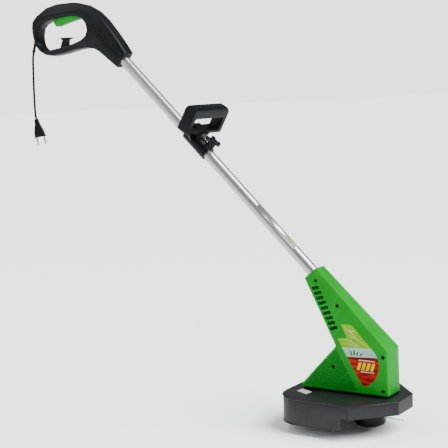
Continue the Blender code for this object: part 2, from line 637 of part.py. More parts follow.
def aux_group():
    """Loop handle with its sleeve, captive nut, brake shoe and lobed knob on a stud."""
    grip_top = AUX_FLOOR + AUX_CLEAR + AUX_GRIP
    floor = 24 * MM
    outer = loop_outline_points(AUX_HALF, floor, floor + grip_top, 4 * MM, 15 * MM)
    inner = loop_outline_points(AUX_HALF - AUX_LEG, floor + AUX_FLOOR, floor + AUX_FLOOR + AUX_CLEAR, 2 * MM, 5 * MM)
    loop = plate("aux_loop", [outer, inner], -AUX_DEPTH / 2, AUX_DEPTH / 2, None, LOOP_FRAME, "XY")
    side = grip_profile(floor - 10 * MM, floor + grip_top, AUX_DEPTH / 2)
    boolean(loop, [plate("grip_rounding", [side], -80 * MM, 80 * MM, None, LOOP_FRAME)], "INTERSECT")
    round_edges(loop, 3 * MM, 2, 60)
    handle = rod("aux_handle", (0, 0, SLEEVE_BOTTOM), (0, 0, SLEEVE_TOP), AUX_SLEEVE_RADIUS, BLACK, AUX_FRAME, 32)
    saddle = block("aux_saddle", (0, -13 * MM, -14 * MM), (floor + 7 * MM, 13 * MM, 22 * MM), None, AUX_FRAME)
    web = plate("aux_web", [mm([(-52, 29), (52, 29), (14, -4), (-14, -4)])], -3 * MM, 3 * MM, None, LOOP_FRAME)
    web.data.transform(Matrix(((0, 0, 1, 0), (1, 0, 0, 0), (0, 1, 0, 0), (0, 0, 0, 1))))
    knob_z = -KNOB_DROP
    pad = rod("aux_boss", (8 * MM, 0, knob_z), (BOSS_TOP, 0, knob_z), 10 * MM, None, AUX_FRAME, 24)
    join(handle, saddle, web, pad, loop)
    room = rod("aux_tube_room", (0, 0, SLEEVE_BOTTOM - 9 * MM), (0, 0, SLEEVE_TOP + 30 * MM), TUBE_RADIUS + GAP, None,
               AUX_FRAME, 32)
    pocket = rod("aux_nut_room", (11 * MM, 0, knob_z), (NUT[1] + GAP, 0, knob_z), 6.2 * MM, None, AUX_FRAME, 6)
    stud_room = rod("aux_stud_room", (11 * MM, 0, knob_z), (BOSS_TOP + 2 * MM, 0, knob_z), STUD_RADIUS + GAP, None,
                    AUX_FRAME, 20)
    cut(handle, room, pocket, stud_room)
    rod("aux_brake_shoe", (SHOE[0], 0, knob_z), (SHOE[1], 0, knob_z), 4.9 * MM, BRASS, AUX_FRAME, 20)
    nut = rod("aux_clamp_nut", (NUT[0], 0, knob_z), (NUT[1], 0, knob_z), 5.9 * MM, STEEL, AUX_FRAME, 6)
    cut(nut, rod("nut_thread", (10 * MM, 0, knob_z), (25 * MM, 0, knob_z), STUD_RADIUS + GAP, None, AUX_FRAME, 20))
    knob_axis = frame_at("knob_axis", (0, 0, knob_z), (0, 0, 0), AUX_FRAME)
    rod("aux_clamp_stud", (NUT[0], 0, 0), (KNOB[1] - 5 * MM, 0, 0), STUD_RADIUS, STEEL, knob_axis, 20)
    knob = rod("aux_clamp_knob", (KNOB[0], 0, 0), (KNOB[1], 0, 0), 8.5 * MM, BLACK, knob_axis, 24)
    for lobe in range(4):
        angle = math.pi / 4 + lobe * math.pi / 2
        turn = Matrix.Rotation(angle, 4, "X")
        join(knob, block(f"knob_lobe_{lobe}", (KNOB[0] + 5 * MM, 0, -KNOB_LOBE), (KNOB[1] - 1 * MM, KNOB_REACH, KNOB_LOBE),
                         None, knob_axis, turn))
    cut(knob, rod("knob_bore", (15 * MM, 0, 0), (KNOB[1] - 5 * MM + GAP, 0, 0), STUD_RADIUS + GAP, None, knob_axis, 20))


aux_group()


# ---- motor housing ------------------------------------------------------------------------------
def housing_half_at(z):
    """Half the housing's outer width at a height above the guard: even at the motor, narrower to the tube."""
    share = max(0.0, z - HOUSING_NOSE_Z) / (HOUSING_TOP_Z - HOUSING_NOSE_Z)
    return HOUSING_HALF + (MOUTH_HALF - HOUSING_HALF) * share


def cross_screw_point(depth):
    """A point on the tube's axis, below the housing's mouth, in the head's frame."""
    return TUBE_ENTRY + depth * TUBE_DOWN


GUARD_SCREWS = mm([(40, 17), (40, -17), (-47, 17), (-47, -17)])


def housing_shell(name, side):
    """One half of the motor housing, with posts, tube cradles, bearing seat, floor hole and vents."""
    faces = [(0, 1, 2, 6), (6, 2, 3, 4, 5)]
    shell = half_shell(name, HOUSING_OUTLINE, side, housing_half_at, faces, GREEN, HEAD_FRAME, HOUSING_EDGE,
                       HOUSING_WALL)
    for index, (x, z) in enumerate(HOUSING_SCREWS):
        outer = housing_half_at(z) - HOUSING_WALL / 2
        join(shell, boss(f"{name}_post_{index}", x, z, side, outer, SCREW_POCKET + 1.5 * MM, HEAD_FRAME))
    for index, depth in enumerate(CROSS_SCREWS):
        point = cross_screw_point(depth)
        outer = housing_half_at(point.z) - HOUSING_WALL / 2
        join(shell, rod(f"{name}_tube_post_{index}", (point.x, side * outer, point.z),
                        (point.x, side * 5 * MM, point.z), SCREW_POCKET + 1.5 * MM, None, HEAD_FRAME, 16))
    bearing_low, bearing_high = MOTOR["upper"]
    seat = block(f"{name}_bearing_seat", (-14 * MM, side * SPLIT, bearing_low - 2 * MM),
                 (14 * MM, side * (HOUSING_HALF - 2 * MM), bearing_high + 2 * MM), None, HEAD_FRAME)
    join(shell, seat)
    for index, (x, y) in enumerate(GUARD_SCREWS):
        if y * side > 0:
            join(shell, rod(f"{name}_foot_{index}", (x, y, HOUSING_FLOOR + 1 * MM), (x, y, 18 * MM), 4.5 * MM, None,
                            HEAD_FRAME, 12))
            cut(shell, rod(f"{name}_foot_bore_{index}", (x, y, 0), (x, y, 16.5 * MM), SCREW_BORE, None, HEAD_FRAME,
                           12))
    cut(shell, tube_clearance(f"{name}_tube_room", -TUBE_BARE - TUBE_IN_HOUSING - GAP, -TUBE_BARE + 40 * MM))
    cut(shell, rod(f"{name}_bearing_room", (0, 0, bearing_low - GAP), (0, 0, bearing_high + GAP),
                   UPPER_BEARING_RADIUS + GAP, None, HEAD_FRAME, 28))
    cut(shell, rod(f"{name}_shaft_room", (0, 0, bearing_low - 5 * MM), (0, 0, SHAFT_TOP + 4 * MM), 6 * MM, None,
                   HEAD_FRAME, 20))
    cut(shell, rod(f"{name}_floor_room", (0, 0, 0), (0, 0, 12 * MM), BASE_HUB_RADIUS + 1 * MM, None, HEAD_FRAME, 32))
    for index, (x, z) in enumerate(HOUSING_SCREWS):
        cut(shell, *screw_hole(f"{name}_screw_{index}", x, z, SCREW_SEAT, SCREW_TIP, -1, 32 * MM, HEAD_FRAME))
    for index, depth in enumerate(CROSS_SCREWS):
        point = cross_screw_point(depth)
        cut(shell, *screw_hole(f"{name}_tube_screw_{index}", point.x, point.z, CROSS_SEAT, -CROSS_SEAT, -1, 32 * MM,
                               HEAD_FRAME))
    for index in range(VENT_COUNT):
        centre = VENT_FIRST + index * VENT_STEP
        outline = [(centre.x + x, centre.z + z) for x, z in VENT_OUTLINE]
        ends = sorted((side * 13.5 * MM, side * 40 * MM))
        cut(shell, plate(f"{name}_vent_{index}", [outline], *ends, None, HEAD_FRAME))
    return shell


BASE_HUB_RADIUS = 14 * MM
housing_shell("housing_right", -1)
housing_shell("housing_left", 1)
for number, (screw_x, screw_z) in enumerate(HOUSING_SCREWS, 1):
    screw_piece(f"housing_screw_{number}", screw_x, screw_z, SCREW_SEAT, SCREW_TIP, -1, DARK_STEEL, HEAD_FRAME)
for number, depth_in in enumerate(CROSS_SCREWS, 4):
    at = cross_screw_point(depth_in)
    screw_piece(f"housing_screw_{number}", at.x, at.z, CROSS_SEAT, -CROSS_SEAT + 0.4 * MM, -1, DARK_STEEL, HEAD_FRAME)


# ---- motor --------------------------------------------------------------------------------------
def ring(name, radius, bore, low, high, look, steps=28):
    profile = [(bore, high), (radius, high), (radius, low), (bore, low)]
    return turned(name, profile, look, HEAD_FRAME, steps)


def toothed(radius, depth, count, tooth_share=0.7):
    """A slotted core's outline."""
    points = []
    for tooth in range(count):
        for share, reach in ((0, radius), (tooth_share, radius), (tooth_share, radius - depth), (1, radius - depth)):
            angle = 2 * math.pi * (tooth + share) / count
            points.append((reach * math.cos(angle), reach * math.sin(angle)))
    return points


def motor_group():
    """Universal motor: stator and coils, slotted armature, commutator with brushes, bearings, fan and shaft."""
    low, high = MOTOR["stator"]
    side = HOUSING_HALF - HOUSING_WALL - GAP
    stator = block("stator_core", (-29 * MM, -side, low), (29 * MM, side, high), LAMINATION, HEAD_FRAME)
    window = block("stator_window", (-23 * MM, -18 * MM, low - 5 * MM), (23 * MM, 18 * MM, high + 5 * MM), None,
                   HEAD_FRAME)
    cut(stator, window)
    for pole, sign in (("front", 1), ("rear", -1)):
        ends = sorted((sign * 14 * MM, sign * 24 * MM))
        join(stator, block(f"pole_{pole}", (ends[0], -9 * MM, low), (ends[1], 9 * MM, high), None, HEAD_FRAME))
    cut(stator, rod("stator_bore", (0, 0, low - 5 * MM), (0, 0, high + 5 * MM), ARMATURE_RADIUS + 0.7 * MM, None,
                    HEAD_FRAME, 32))
    for pole, sign in (("front", 1), ("rear", -1)):
        ends = sorted((sign * 17.5 * MM, sign * 22.7 * MM))
        coil = block(f"field_coil_{pole}", (ends[0], -14.5 * MM, low - 6 * MM), (ends[1], 14.5 * MM, high + 6 * MM),
                     COPPER, HEAD_FRAME)
        round_edges(coil, 1 * MM, 1)
        cut(coil, block(f"coil_window_{pole}", (ends[0] - 2 * MM, -9 * MM - GAP, low - GAP),
                        (ends[1] + 2 * MM, 9 * MM + GAP, high + GAP), None, HEAD_FRAME))
    bore = SHAFT_RADIUS + GAP
    low, high = MOTOR["armature"]
    armature = plate("armature_core", [toothed(ARMATURE_RADIUS, 5 * MM, 12)], low, high, LAMINATION, HEAD_FRAME, "XY")
    cut(armature, rod("armature_bore", (0, 0, low - 5 * MM), (0, 0, high + 5 * MM), bore, None, HEAD_FRAME, 24))
    ring("commutator", COMMUTATOR_RADIUS, bore, *MOTOR["commutator"], COPPER)
    ring("upper_bearing", UPPER_BEARING_RADIUS, bore, *MOTOR["upper"], STEEL)
    ring("lower_bearing", LOWER_BEARING_RADIUS, bore, *MOTOR["lower"], STEEL)
    for number, sign in ((1, -1), (2, 1)):
        middle = sum(MOTOR["commutator"]) / 2
        ends = sorted((sign * 15 * MM, sign * side))
        holder = block(f"brush_holder_{number}", (-6 * MM, ends[0], middle - 5.5 * MM),
                       (6 * MM, ends[1], middle + 5.5 * MM), BRASS, HEAD_FRAME)
        cut(holder, block(f"brush_room_{number}", (-3.5 * MM - GAP, ends[0] - 5 * MM, middle - 3 * MM - GAP),
                          (3.5 * MM + GAP, ends[1] + 5 * MM, middle + 3 * MM + GAP), None, HEAD_FRAME))
        ends = sorted((sign * (COMMUTATOR_RADIUS + GAP), sign * (side - 1 * MM)))
        block(f"carbon_brush_{number}", (-3.5 * MM, ends[0], middle - 3 * MM), (3.5 * MM, ends[1], middle + 3 * MM),
              CARBON, HEAD_FRAME)
    low, high = MOTOR["fan"]
    fan = ring("cooling_fan", FAN_RADIUS, bore, low, low + 2 * MM, BLACK)
    join(fan, rod("fan_hub", (0, 0, low + 1 * MM), (0, 0, high), 7.5 * MM, None, HEAD_FRAME, 24))
    for blade in range(8):
        turn = Matrix.Rotation(2 * math.pi * blade / 8, 4, "Z")
        join(fan, block(f"fan_blade_{blade}", (6.5 * MM, -0.8 * MM, low + 1 * MM), (22 * MM, 0.8 * MM, high - 1 * MM),
                        None, HEAD_FRAME, turn))
    cut(fan, rod("fan_bore", (0, 0, low - 5 * MM), (0, 0, high + 5 * MM), bore, None, HEAD_FRAME, 28))
    turned("motor_shaft", [(0, SHAFT_TOP), (SHAFT_RADIUS, SHAFT_TOP), (SHAFT_RADIUS, NUT_BOTTOM + 3 * MM),
                           (0, NUT_BOTTOM + 3 * MM)], STEEL, HEAD_FRAME, 24, closed=False)


def base_plate():
    """Black seat between the housing and the guard, with the lower bearing's hub."""
    half = HOUSING_HALF - 1.2 * MM
    top = HOUSING_FLOOR - GAP
    plate_piece = block("base_plate", (-145 * MM, -half, GAP), (57 * MM, half, top), BLACK, HEAD_FRAME)
    round_edges(plate_piece, 1 * MM, 1)
    low, high = MOTOR["lower"]
    join(plate_piece, rod("base_hub", (0, 0, 1 * MM), (0, 0, high + 2 * MM), BASE_HUB_RADIUS, None, HEAD_FRAME, 32))
    cut(plate_piece,
        rod("base_bearing_room", (0, 0, low - GAP), (0, 0, high + 6 * MM), LOWER_BEARING_RADIUS + GAP, None,
            HEAD_FRAME, 28),
        rod("base_shaft_room", (0, 0, -5 * MM), (0, 0, high), SHAFT_RADIUS + 1.5 * MM, None, HEAD_FRAME, 24))
    for index, (x, y) in enumerate(GUARD_SCREWS):
        cut(plate_piece, rod(f"base_screw_{index}", (x, y, -5 * MM), (x, y, 12 * MM), SCREW_BORE, None, HEAD_FRAME,
                             12))


motor_group()
base_plate()


# ---- guard --------------------------------------------------------------------------------------
DEEP_END = -12 * MM  # where the deep rear skirt stops, from the spindle
GUARD_BACK = -175 * MM
GUARD_POLYGON = mm([(10, 111), (84.4, 34.5)])  # side and front corners, mirrored across the middle


def guard_outline():
    """The guard's outline from above, round the back from the far side to the near side."""
    points = [(DEEP_END, GUARD_HALF)]
    centre_x = GUARD_BACK + GUARD_CORNER
    centre_y = GUARD_HALF - GUARD_CORNER
    for sign in (1, -1):
        steps = 7
        for step in range(steps + 1):
            share = step / steps if sign > 0 else 1 - step / steps
            angle = math.pi / 2 * (1 + share)
            points.append((centre_x + GUARD_CORNER * math.cos(angle), sign * (centre_y + GUARD_CORNER * math.sin(angle))))
    points.append((DEEP_END, -GUARD_HALF))
    return points


def guard_piece():
    """Top plate with a shallow angular skirt in front and a deep round skirt behind, in one wall."""
    deep = guard_outline()
    corner, front = GUARD_POLYGON
    shallow = [(corner[0], -corner[1]), (front[0], -front[1]), front, corner]
    outline = deep + shallow
    bm = bmesh.new()
    top = [bm.verts.new((x, y, 0)) for x, y in outline]
    middle = [bm.verts.new((x, y, -GUARD_FRONT_DEPTH)) for x, y in outline]
    bottom = [bm.verts.new((x, y, -GUARD_REAR_DEPTH)) for x, y in deep]
    bm.faces.new(top)
    for i in range(len(outline)):
        j = (i + 1) % len(outline)
        bm.faces.new((top[i], top[j], middle[j], middle[i]))
    for i in range(len(deep) - 1):
        bm.faces.new((middle[i], middle[i + 1], bottom[i + 1], bottom[i]))
    face_outwards(bm, (0, 0, 1))
    guard = from_bmesh("guard", bm, GUARD_GREY, HEAD_FRAME)
    round_edges(guard, 3 * MM, 2, 60)
    thicken(guard, GUARD_WALL)
    cut(guard, rod("guard_shaft_room", (0, 0, -9 * MM), (0, 0, 5 * MM), 12 * MM, None, HEAD_FRAME, 28))
    for index, (x, y) in enumerate(GUARD_SCREWS):
        cut(guard, rod(f"guard_screw_room_{index}", (x, y, -9 * MM), (x, y, 5 * MM), SCREW_BORE, None, HEAD_FRAME,
                       12))
    cut(guard, rod("cutter_screw_room", (CUTTER_X, GUARD_HALF - 6 * MM, CUTTER_Z),
                   (CUTTER_X, GUARD_HALF - 0.8 * MM, CUTTER_Z), SCREW_BORE, None, HEAD_FRAME, 12))


CUTTER_X = -24 * MM
CUTTER_Z = -38 * MM


def guard_fittings():
    """Guard screws from below, and the steel blade that trims the line."""
    for number, (x, y) in enumerate(GUARD_SCREWS, 1):
        under = -GUARD_WALL - GAP
        profile = [(0, 15.5 * MM), (SCREW_RADIUS, 15.5 * MM), (SCREW_RADIUS, under), (SCREW_HEAD_RADIUS, under),
                   (SCREW_HEAD_RADIUS, under - SCREW_HEAD), (0, under - SCREW_HEAD)]
        screw = turned(f"guard_screw_{number}", profile, DARK_STEEL, HEAD_FRAME, 16, closed=False)
        screw.location = (x, y, 0)
    inner = GUARD_HALF - GUARD_WALL - GAP
    blade = block("line_cutter", (CUTTER_X - 8 * MM, inner - 1 * MM, -48.5 * MM),
                  (CUTTER_X + 8 * MM, inner, CUTTER_Z + 6 * MM), STEEL, HEAD_FRAME)
    edge = block("line_cutter_edge", (CUTTER_X - 8 * MM, inner - 12 * MM, -48.5 * MM),
                 (CUTTER_X + 8 * MM, inner - 0.5 * MM, -47.4 * MM), None, HEAD_FRAME)
    join(blade, edge)
    cut(blade, rod("cutter_bore", (CUTTER_X, inner - 5 * MM, CUTTER_Z), (CUTTER_X, inner + 5 * MM, CUTTER_Z),
                   SCREW_BORE, None, HEAD_FRAME, 12))
    under = inner - 1 * MM - GAP
    tip = GUARD_HALF - 1.1 * MM
    profile = [(0, SCREW_HEAD), (SCREW_HEAD_RADIUS, SCREW_HEAD), (SCREW_HEAD_RADIUS, 0), (SCREW_RADIUS, 0),
               (SCREW_RADIUS, under - tip), (0, under - tip)]
    screw = turned("line_cutter_screw", profile, STEEL, HEAD_FRAME, 16, closed=False)
    screw.location = (CUTTER_X, under, CUTTER_Z)
    screw.rotation_euler = (math.pi / 2, 0, 0)


guard_piece()
guard_fittings()


# ---- line head ----------------------------------------------------------------------------------
def line_head():
    """Cap and bowl clamped on the shaft by the nut, with the line spool between them."""
    bore = SHAFT_RADIUS + GAP
    wall = 2.5 * MM
    radius = HEAD_RADIUS
    joint = LINE_LEVEL + 5 * MM
    cap_top = -22 * MM
    roof = -30 * MM
    cap = [(bore, cap_top), (9 * MM, cap_top), (9 * MM, roof), (radius - 3 * MM, roof), (radius, roof - 3 * MM),
           (radius, joint + SPLIT), (radius - wall, joint + SPLIT), (radius - wall, roof - 4 * MM),
           (bore, roof - 4 * MM)]
    turned("head_cap", cap, BLACK, HEAD_FRAME, 36)
    floor = NUT_TOP + GAP
    bowl = [(bore, floor + 3 * MM), (radius - 12 * MM, floor + 3 * MM), (radius - wall, floor + 9 * MM),
            (radius - wall, joint - SPLIT), (radius, joint - SPLIT), (radius, floor + 8 * MM),
            (radius - 3 * MM, floor + 3.5 * MM), (radius - 11 * MM, floor), (bore, floor)]
    cover = turned("head_cover", bowl, BLACK, HEAD_FRAME, 36)
    bush = 2.6 * MM
    cut(cover, rod("eyelet_room", (radius - 8 * MM, 0, LINE_LEVEL), (radius + 8 * MM, 0, LINE_LEVEL), bush + GAP, None,
                   HEAD_FRAME, 16))
    eyelet = rod("line_eyelet", (radius - 4 * MM, 0, LINE_LEVEL), (radius + 2 * MM, 0, LINE_LEVEL), bush, STEEL,
                 HEAD_FRAME, 16)
    cut(eyelet, rod("eyelet_bore", (radius - 8 * MM, 0, LINE_LEVEL), (radius + 8 * MM, 0, LINE_LEVEL),
                    LINE_RADIUS + GAP, None, HEAD_FRAME, 12))
    low, high = floor + 3 * MM + GAP, roof - 4 * MM - GAP
    flange, core, web = 26 * MM, 12 * MM, 2 * MM
    flange_low = radius - 13 * MM
    spool = [(bore, high), (flange, high), (flange, high - web), (core, high - web), (core, low + web),
             (flange_low, low + web), (flange_low, low), (bore, low)]
    turned("line_spool", spool, WHITE, HEAD_FRAME, 32)
    wound = [(core + GAP, high - web - GAP), (flange - 2 * MM, high - web - GAP), (flange - 2 * MM, low + 11 * MM),
             (flange_low, low + web + GAP), (core + GAP, low + web + GAP)]
    turned("wound_line", wound, LINE_GREEN, HEAD_FRAME, 32)
    start = flange - 2 * MM + GAP + 0.2 * MM
    route = [(start + (LINE_TIP - start) * step / 12, 0, LINE_LEVEL - 1.1 * MM * (step / 12) ** 2 * (step / 12))
             for step in range(13)]
    wire("cutting_line", route, LINE_RADIUS, LINE_GREEN, HEAD_FRAME)
    nut = rod("spindle_nut", (0, 0, NUT_BOTTOM), (0, 0, NUT_TOP), 10 * MM, STEEL, HEAD_FRAME, 24)
    round_edges(nut, 0.8 * MM, 1)
    cut(nut, rod("nut_bore", (0, 0, NUT_BOTTOM + 3 * MM - GAP), (0, 0, NUT_TOP + 5 * MM), bore, None, HEAD_FRAME, 24))


line_head()

for piece in PARTS.objects:
    if piece.type == "MESH":
        piece.data.shade_smooth()
        piece.data.set_sharp_from_angle(angle=math.radians(35))
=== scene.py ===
# %% [markdown]
# # Electric string trimmer: the looks
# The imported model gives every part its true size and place. This lesson dresses it: a camera and a
# soft studio first, then the free cords, then each finish, then the small moulded details that are
# too fine for the solid model. Everything is in metres, with +Z up and +X towards the cutting head.

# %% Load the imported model
import math

import bmesh
import bpy
from mathutils import Matrix, Vector


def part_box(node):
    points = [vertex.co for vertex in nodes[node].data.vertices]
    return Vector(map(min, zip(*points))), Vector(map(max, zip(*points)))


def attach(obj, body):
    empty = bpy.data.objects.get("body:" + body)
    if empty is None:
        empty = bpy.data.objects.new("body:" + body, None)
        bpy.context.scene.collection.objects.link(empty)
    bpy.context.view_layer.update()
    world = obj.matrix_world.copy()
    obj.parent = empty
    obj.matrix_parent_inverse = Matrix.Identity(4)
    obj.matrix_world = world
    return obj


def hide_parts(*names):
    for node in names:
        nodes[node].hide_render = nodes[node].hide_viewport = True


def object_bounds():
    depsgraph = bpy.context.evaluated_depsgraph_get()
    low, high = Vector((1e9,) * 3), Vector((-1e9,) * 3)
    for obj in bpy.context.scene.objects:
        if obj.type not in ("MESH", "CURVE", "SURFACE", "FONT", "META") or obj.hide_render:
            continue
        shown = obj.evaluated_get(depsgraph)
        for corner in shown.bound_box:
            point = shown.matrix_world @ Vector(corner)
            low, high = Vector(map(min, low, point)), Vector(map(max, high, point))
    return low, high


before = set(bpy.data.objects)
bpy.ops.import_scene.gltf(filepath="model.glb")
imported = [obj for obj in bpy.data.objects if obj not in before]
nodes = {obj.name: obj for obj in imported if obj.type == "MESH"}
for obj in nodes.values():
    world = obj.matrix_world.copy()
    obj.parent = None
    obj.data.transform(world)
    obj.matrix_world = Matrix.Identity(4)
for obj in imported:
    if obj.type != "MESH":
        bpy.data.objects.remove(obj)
cad_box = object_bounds()
MM = 0.001
print(len(nodes), "parts from", [round(v, 3) for v in cad_box[0]], "to", [round(v, 3) for v in cad_box[1]])

# %% [markdown]
# ## The camera
# The trimmer is seen from its right side, a third of the way round to the front and from barely above
# the grip. A long lens keeps the tube's two edges almost parallel. The camera's own axes are built
# from three angles (round, up and roll), which is easier to adjust than a quaternion.

# %% Camera
VIEW_ROUND, VIEW_UP, VIEW_ROLL = math.radians(34.98), math.radians(6.87), -0.048
CAMERA_PLACE = (1.84865, -2.03538, -0.21218)
LONG_LENS = 88.42  # millimetres, on a sensor 36 mm wide
look_back = Vector((math.sin(VIEW_ROUND) * math.cos(VIEW_UP), -math.cos(VIEW_ROUND) * math.cos(VIEW_UP),
                    math.sin(VIEW_UP)))
level_right = Vector((math.cos(VIEW_ROUND), math.sin(VIEW_ROUND), 0))
level_up = look_back.cross(level_right)
camera_right = math.cos(VIEW_ROLL) * level_right + math.sin(VIEW_ROLL) * level_up
camera_up = math.cos(VIEW_ROLL) * level_up - math.sin(VIEW_ROLL) * level_right

camera = bpy.data.objects.new("camera", bpy.data.cameras.new("camera"))
bpy.context.scene.collection.objects.link(camera)
axes = Matrix((camera_right, camera_up, look_back)).transposed()
camera.matrix_world = Matrix.Translation(CAMERA_PLACE) @ axes.to_4x4()
camera.data.sensor_width = 36
camera.data.lens = LONG_LENS
camera.data.clip_end = 200
bpy.context.scene.camera = camera
print("camera", [round(v, 3) for v in camera.location], "lens", camera.data.lens)

# %% [markdown]
# ## The studio
# Glossy black plastic shows its form only through what it reflects, so the room is pale and the lamps
# are large. One wide panel stands to the front and above, where it brightens the slanted face of the
# motor housing, and a weaker one fills the near side. Three soft lamps outline the edges. The lens sees
# the paper and the room brighter than the tool does, so the backdrop is pale and the black stays black.

# %% Floor, room and lamps
FLOOR_Z = cad_box[0].z - 0.0005
FLOOR_SHOWN = 2.1  # how much brighter the lens sees the paper than the tool does
ROOM_SHOWN, ROOM_LIGHT = 2.4, 0.20  # the room as the lens sees it, and as it lights the tool


def link(name, data):
    """A new object in the scene."""
    made = bpy.data.objects.new(name, data)
    bpy.context.scene.collection.objects.link(made)
    return made


def disc(name, radius, z, sides=96):
    """A flat round sheet."""
    mesh = bmesh.new()
    bmesh.ops.create_circle(mesh, cap_ends=True, radius=radius, segments=sides)
    data = bpy.data.meshes.new(name)
    mesh.to_mesh(data)
    mesh.free()
    made = link(name, data)
    made.location.z = z
    return made


def lamp(name, place, aim, size, power, colour=(1, 1, 1)):
    """A square area lamp at `place`, turned to `aim`."""
    data = bpy.data.lights.new(name, "AREA")
    data.energy, data.size, data.color = power, size, colour
    made = link(name, data)
    made.location = place
    made.rotation_euler = (Vector(aim) - Vector(place)).to_track_quat("-Z", "Y").to_euler()
    return made


floor = disc("studio_floor", 60, FLOOR_Z)
paper = bpy.data.materials.new("pale_paper")
paper.use_nodes = True
plain_paper = paper.node_tree.nodes["Principled BSDF"]
plain_paper.inputs["Base Color"].default_value = (0.93, 0.93, 0.93, 1)
plain_paper.inputs["Roughness"].default_value = 0.95
floor.data.materials.append(paper)


def mixed_by_ray(tree, plain, bright, target):
    """The bright shader where the lens sees it, and the plain one where it lights or is reflected."""
    ray = tree.nodes.new("ShaderNodeLightPath")
    choice = tree.nodes.new("ShaderNodeMixShader")
    tree.links.new(ray.outputs["Is Camera Ray"], choice.inputs["Fac"])
    tree.links.new(plain, choice.inputs[1])
    tree.links.new(bright, choice.inputs[2])
    tree.links.new(choice.outputs["Shader"], target)


bright_paper = paper.node_tree.nodes.new("ShaderNodeBsdfDiffuse")
bright_paper.inputs["Color"].default_value = (FLOOR_SHOWN, FLOOR_SHOWN, FLOOR_SHOWN, 1)
mixed_by_ray(paper.node_tree, plain_paper.outputs["BSDF"], bright_paper.outputs["BSDF"],
             paper.node_tree.nodes["Material Output"].inputs["Surface"])

room = bpy.data.worlds.new("room")
bpy.context.scene.world = room
room.use_nodes = True
air = room.node_tree
seen = air.nodes.new("ShaderNodeBackground")
seen.inputs["Color"].default_value = (1, 1, 1, 1)
seen.inputs["Strength"].default_value = ROOM_SHOWN
bounced = air.nodes["Background"]
bounced.inputs["Color"].default_value = (0.92, 0.96, 1, 1)
bounced.inputs["Strength"].default_value = ROOM_LIGHT
mixed_by_ray(air, bounced.outputs["Background"], seen.outputs["Background"],
             air.nodes["World Output"].inputs["Surface"])


def sun(name, place, power, width):
    """An even light over the whole floor, from the direction of `place`, as soft as it is wide."""
    data = bpy.data.lights.new(name, "SUN")
    data.energy, data.angle = power, math.radians(width)
    made = link(name, data)
    made.rotation_euler = (-Vector(place)).to_track_quat("-Z", "Y").to_euler()
    return made


sun("sky_panel", (1.3, 0.1, 1.5), 4.0, 45)
sun("side_panel", (-1.2, -1.3, 1.0), 0.55, 40)
lamp("front_lamp", (2.0, -0.1, 0.9), (0.6, 0, -0.6), 0.8, 5)
lamp("top_lamp", (-0.3, -0.6, 1.3), (0.1, 0, -0.2), 0.6, 6)
lamp("corner_lamp", (2.5, -1.5, -0.7), (0.86, -0.08, -0.88), 0.9, 2.5)
print("floor at", round(FLOOR_Z, 4), "two wide panels and three lamps")

# %% [markdown]
# ## The supply cord
# A short rubber-sheathed lead hangs from the rear of the handle to its moulded plug. A round bevel on
# a smooth curve is the natural way to make it: the curve is the cord's centreline, so its length can
# be measured, and the bevel is its thickness. The points are those of the solid model's route.

# %% Cord curve
CORD_WIDTH = 5.5 * MM
CORD_ROUTE = [
    (-134.1, 0, -92.3), (-136.6, 0, -101), (-138.2, 0, -112), (-139.4, 0, -128), (-140.6, 0, -150),
    (-141.8, 0, -176), (-142.6, 0, -200), (-143, 0, -219), (-143, 0, -235), (-142.3, 0, -249),
    (-141.2, 0, -258.7),
]


def in_metres(points):
    """Points in millimetres as vectors in metres."""
    return [Vector(p) * MM for p in points]


def smooth_points(points, each=3):
    """More points along the same route, on a Catmull-Rom curve through all of them."""
    ends = [2 * points[0] - points[1], *points, 2 * points[-1] - points[-2]]
    made = []
    for a, b, c, d in zip(ends, ends[1:], ends[2:], ends[3:]):
        for step in range(each):
            t = step / each
            made.append(0.5 * (2 * b + (c - a) * t + (2 * a - 5 * b + 4 * c - d) * t * t
                               + (3 * b - a - 3 * c + d) * t ** 3))
    return [*made, points[-1]]


def bevelled_curve(name, points, width, sides=6):
    """A round cord of that width along the points, with closed ends."""
    data = bpy.data.curves.new(name, "CURVE")
    data.dimensions = "3D"
    data.bevel_depth = 1.0  # each point's radius is then the cord's own
    data.bevel_resolution = sides
    data.use_fill_caps = True
    line = data.splines.new("POLY")
    line.points.add(len(points) - 1)
    for point, place in zip(line.points, points):
        point.co, point.radius = (*place, 1), width / 2
    return link(name, data)


def length_of(points):
    """The length of the line through the points."""
    return sum((b - a).length for a, b in zip(points, points[1:]))


cord_points = smooth_points(in_metres(CORD_ROUTE))
supply_cord = bevelled_curve("supply_cord", cord_points, CORD_WIDTH)
print("cord", round(length_of(cord_points) * 1000, 1), "mm long, of", len(cord_points), "points")

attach(supply_cord, "frame")
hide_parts("power_cord")

# %% [markdown]
# ## The cutting line
# The nylon line leaves the eyelet in the spinning bowl and sticks out stiffly, drooping a little at its
# cut end. It is a free cord too, so it is measured as one; its end is bare because it is worn away and
# fed again in use.

# %% Cutting line curve
HEAD = Vector((780.518, 0, -863.452)) * MM
LINE_WIDTH = 2.0 * MM
LINE_START, LINE_END = 24.5 * MM, 79.6 * MM
LINE_LEVEL, LINE_DROOP = -48.6 * MM, 1.1 * MM
line_points = []
for step in range(19):
    share = step / 18
    line_points.append(HEAD + Vector((LINE_START + (LINE_END - LINE_START) * share, 0,
                                      LINE_LEVEL - LINE_DROOP * share ** 3)))
nylon_line = bevelled_curve("nylon_line", line_points, LINE_WIDTH, 4)
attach(nylon_line, "spindle")
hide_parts("cutting_line")
print("cutting line", round(length_of(line_points) * 1000, 1), "mm")

# %% [markdown]
# ## Building a finish
# Every finish here is one Principled shader fed by a few textures in the object's own coordinates, so
# nothing slides when the camera moves. Three helpers make them quick to read: `finish` starts a
# material, `pattern` adds a texture that can be stretched and turned, and `tones` turns its greys into
# two colours.

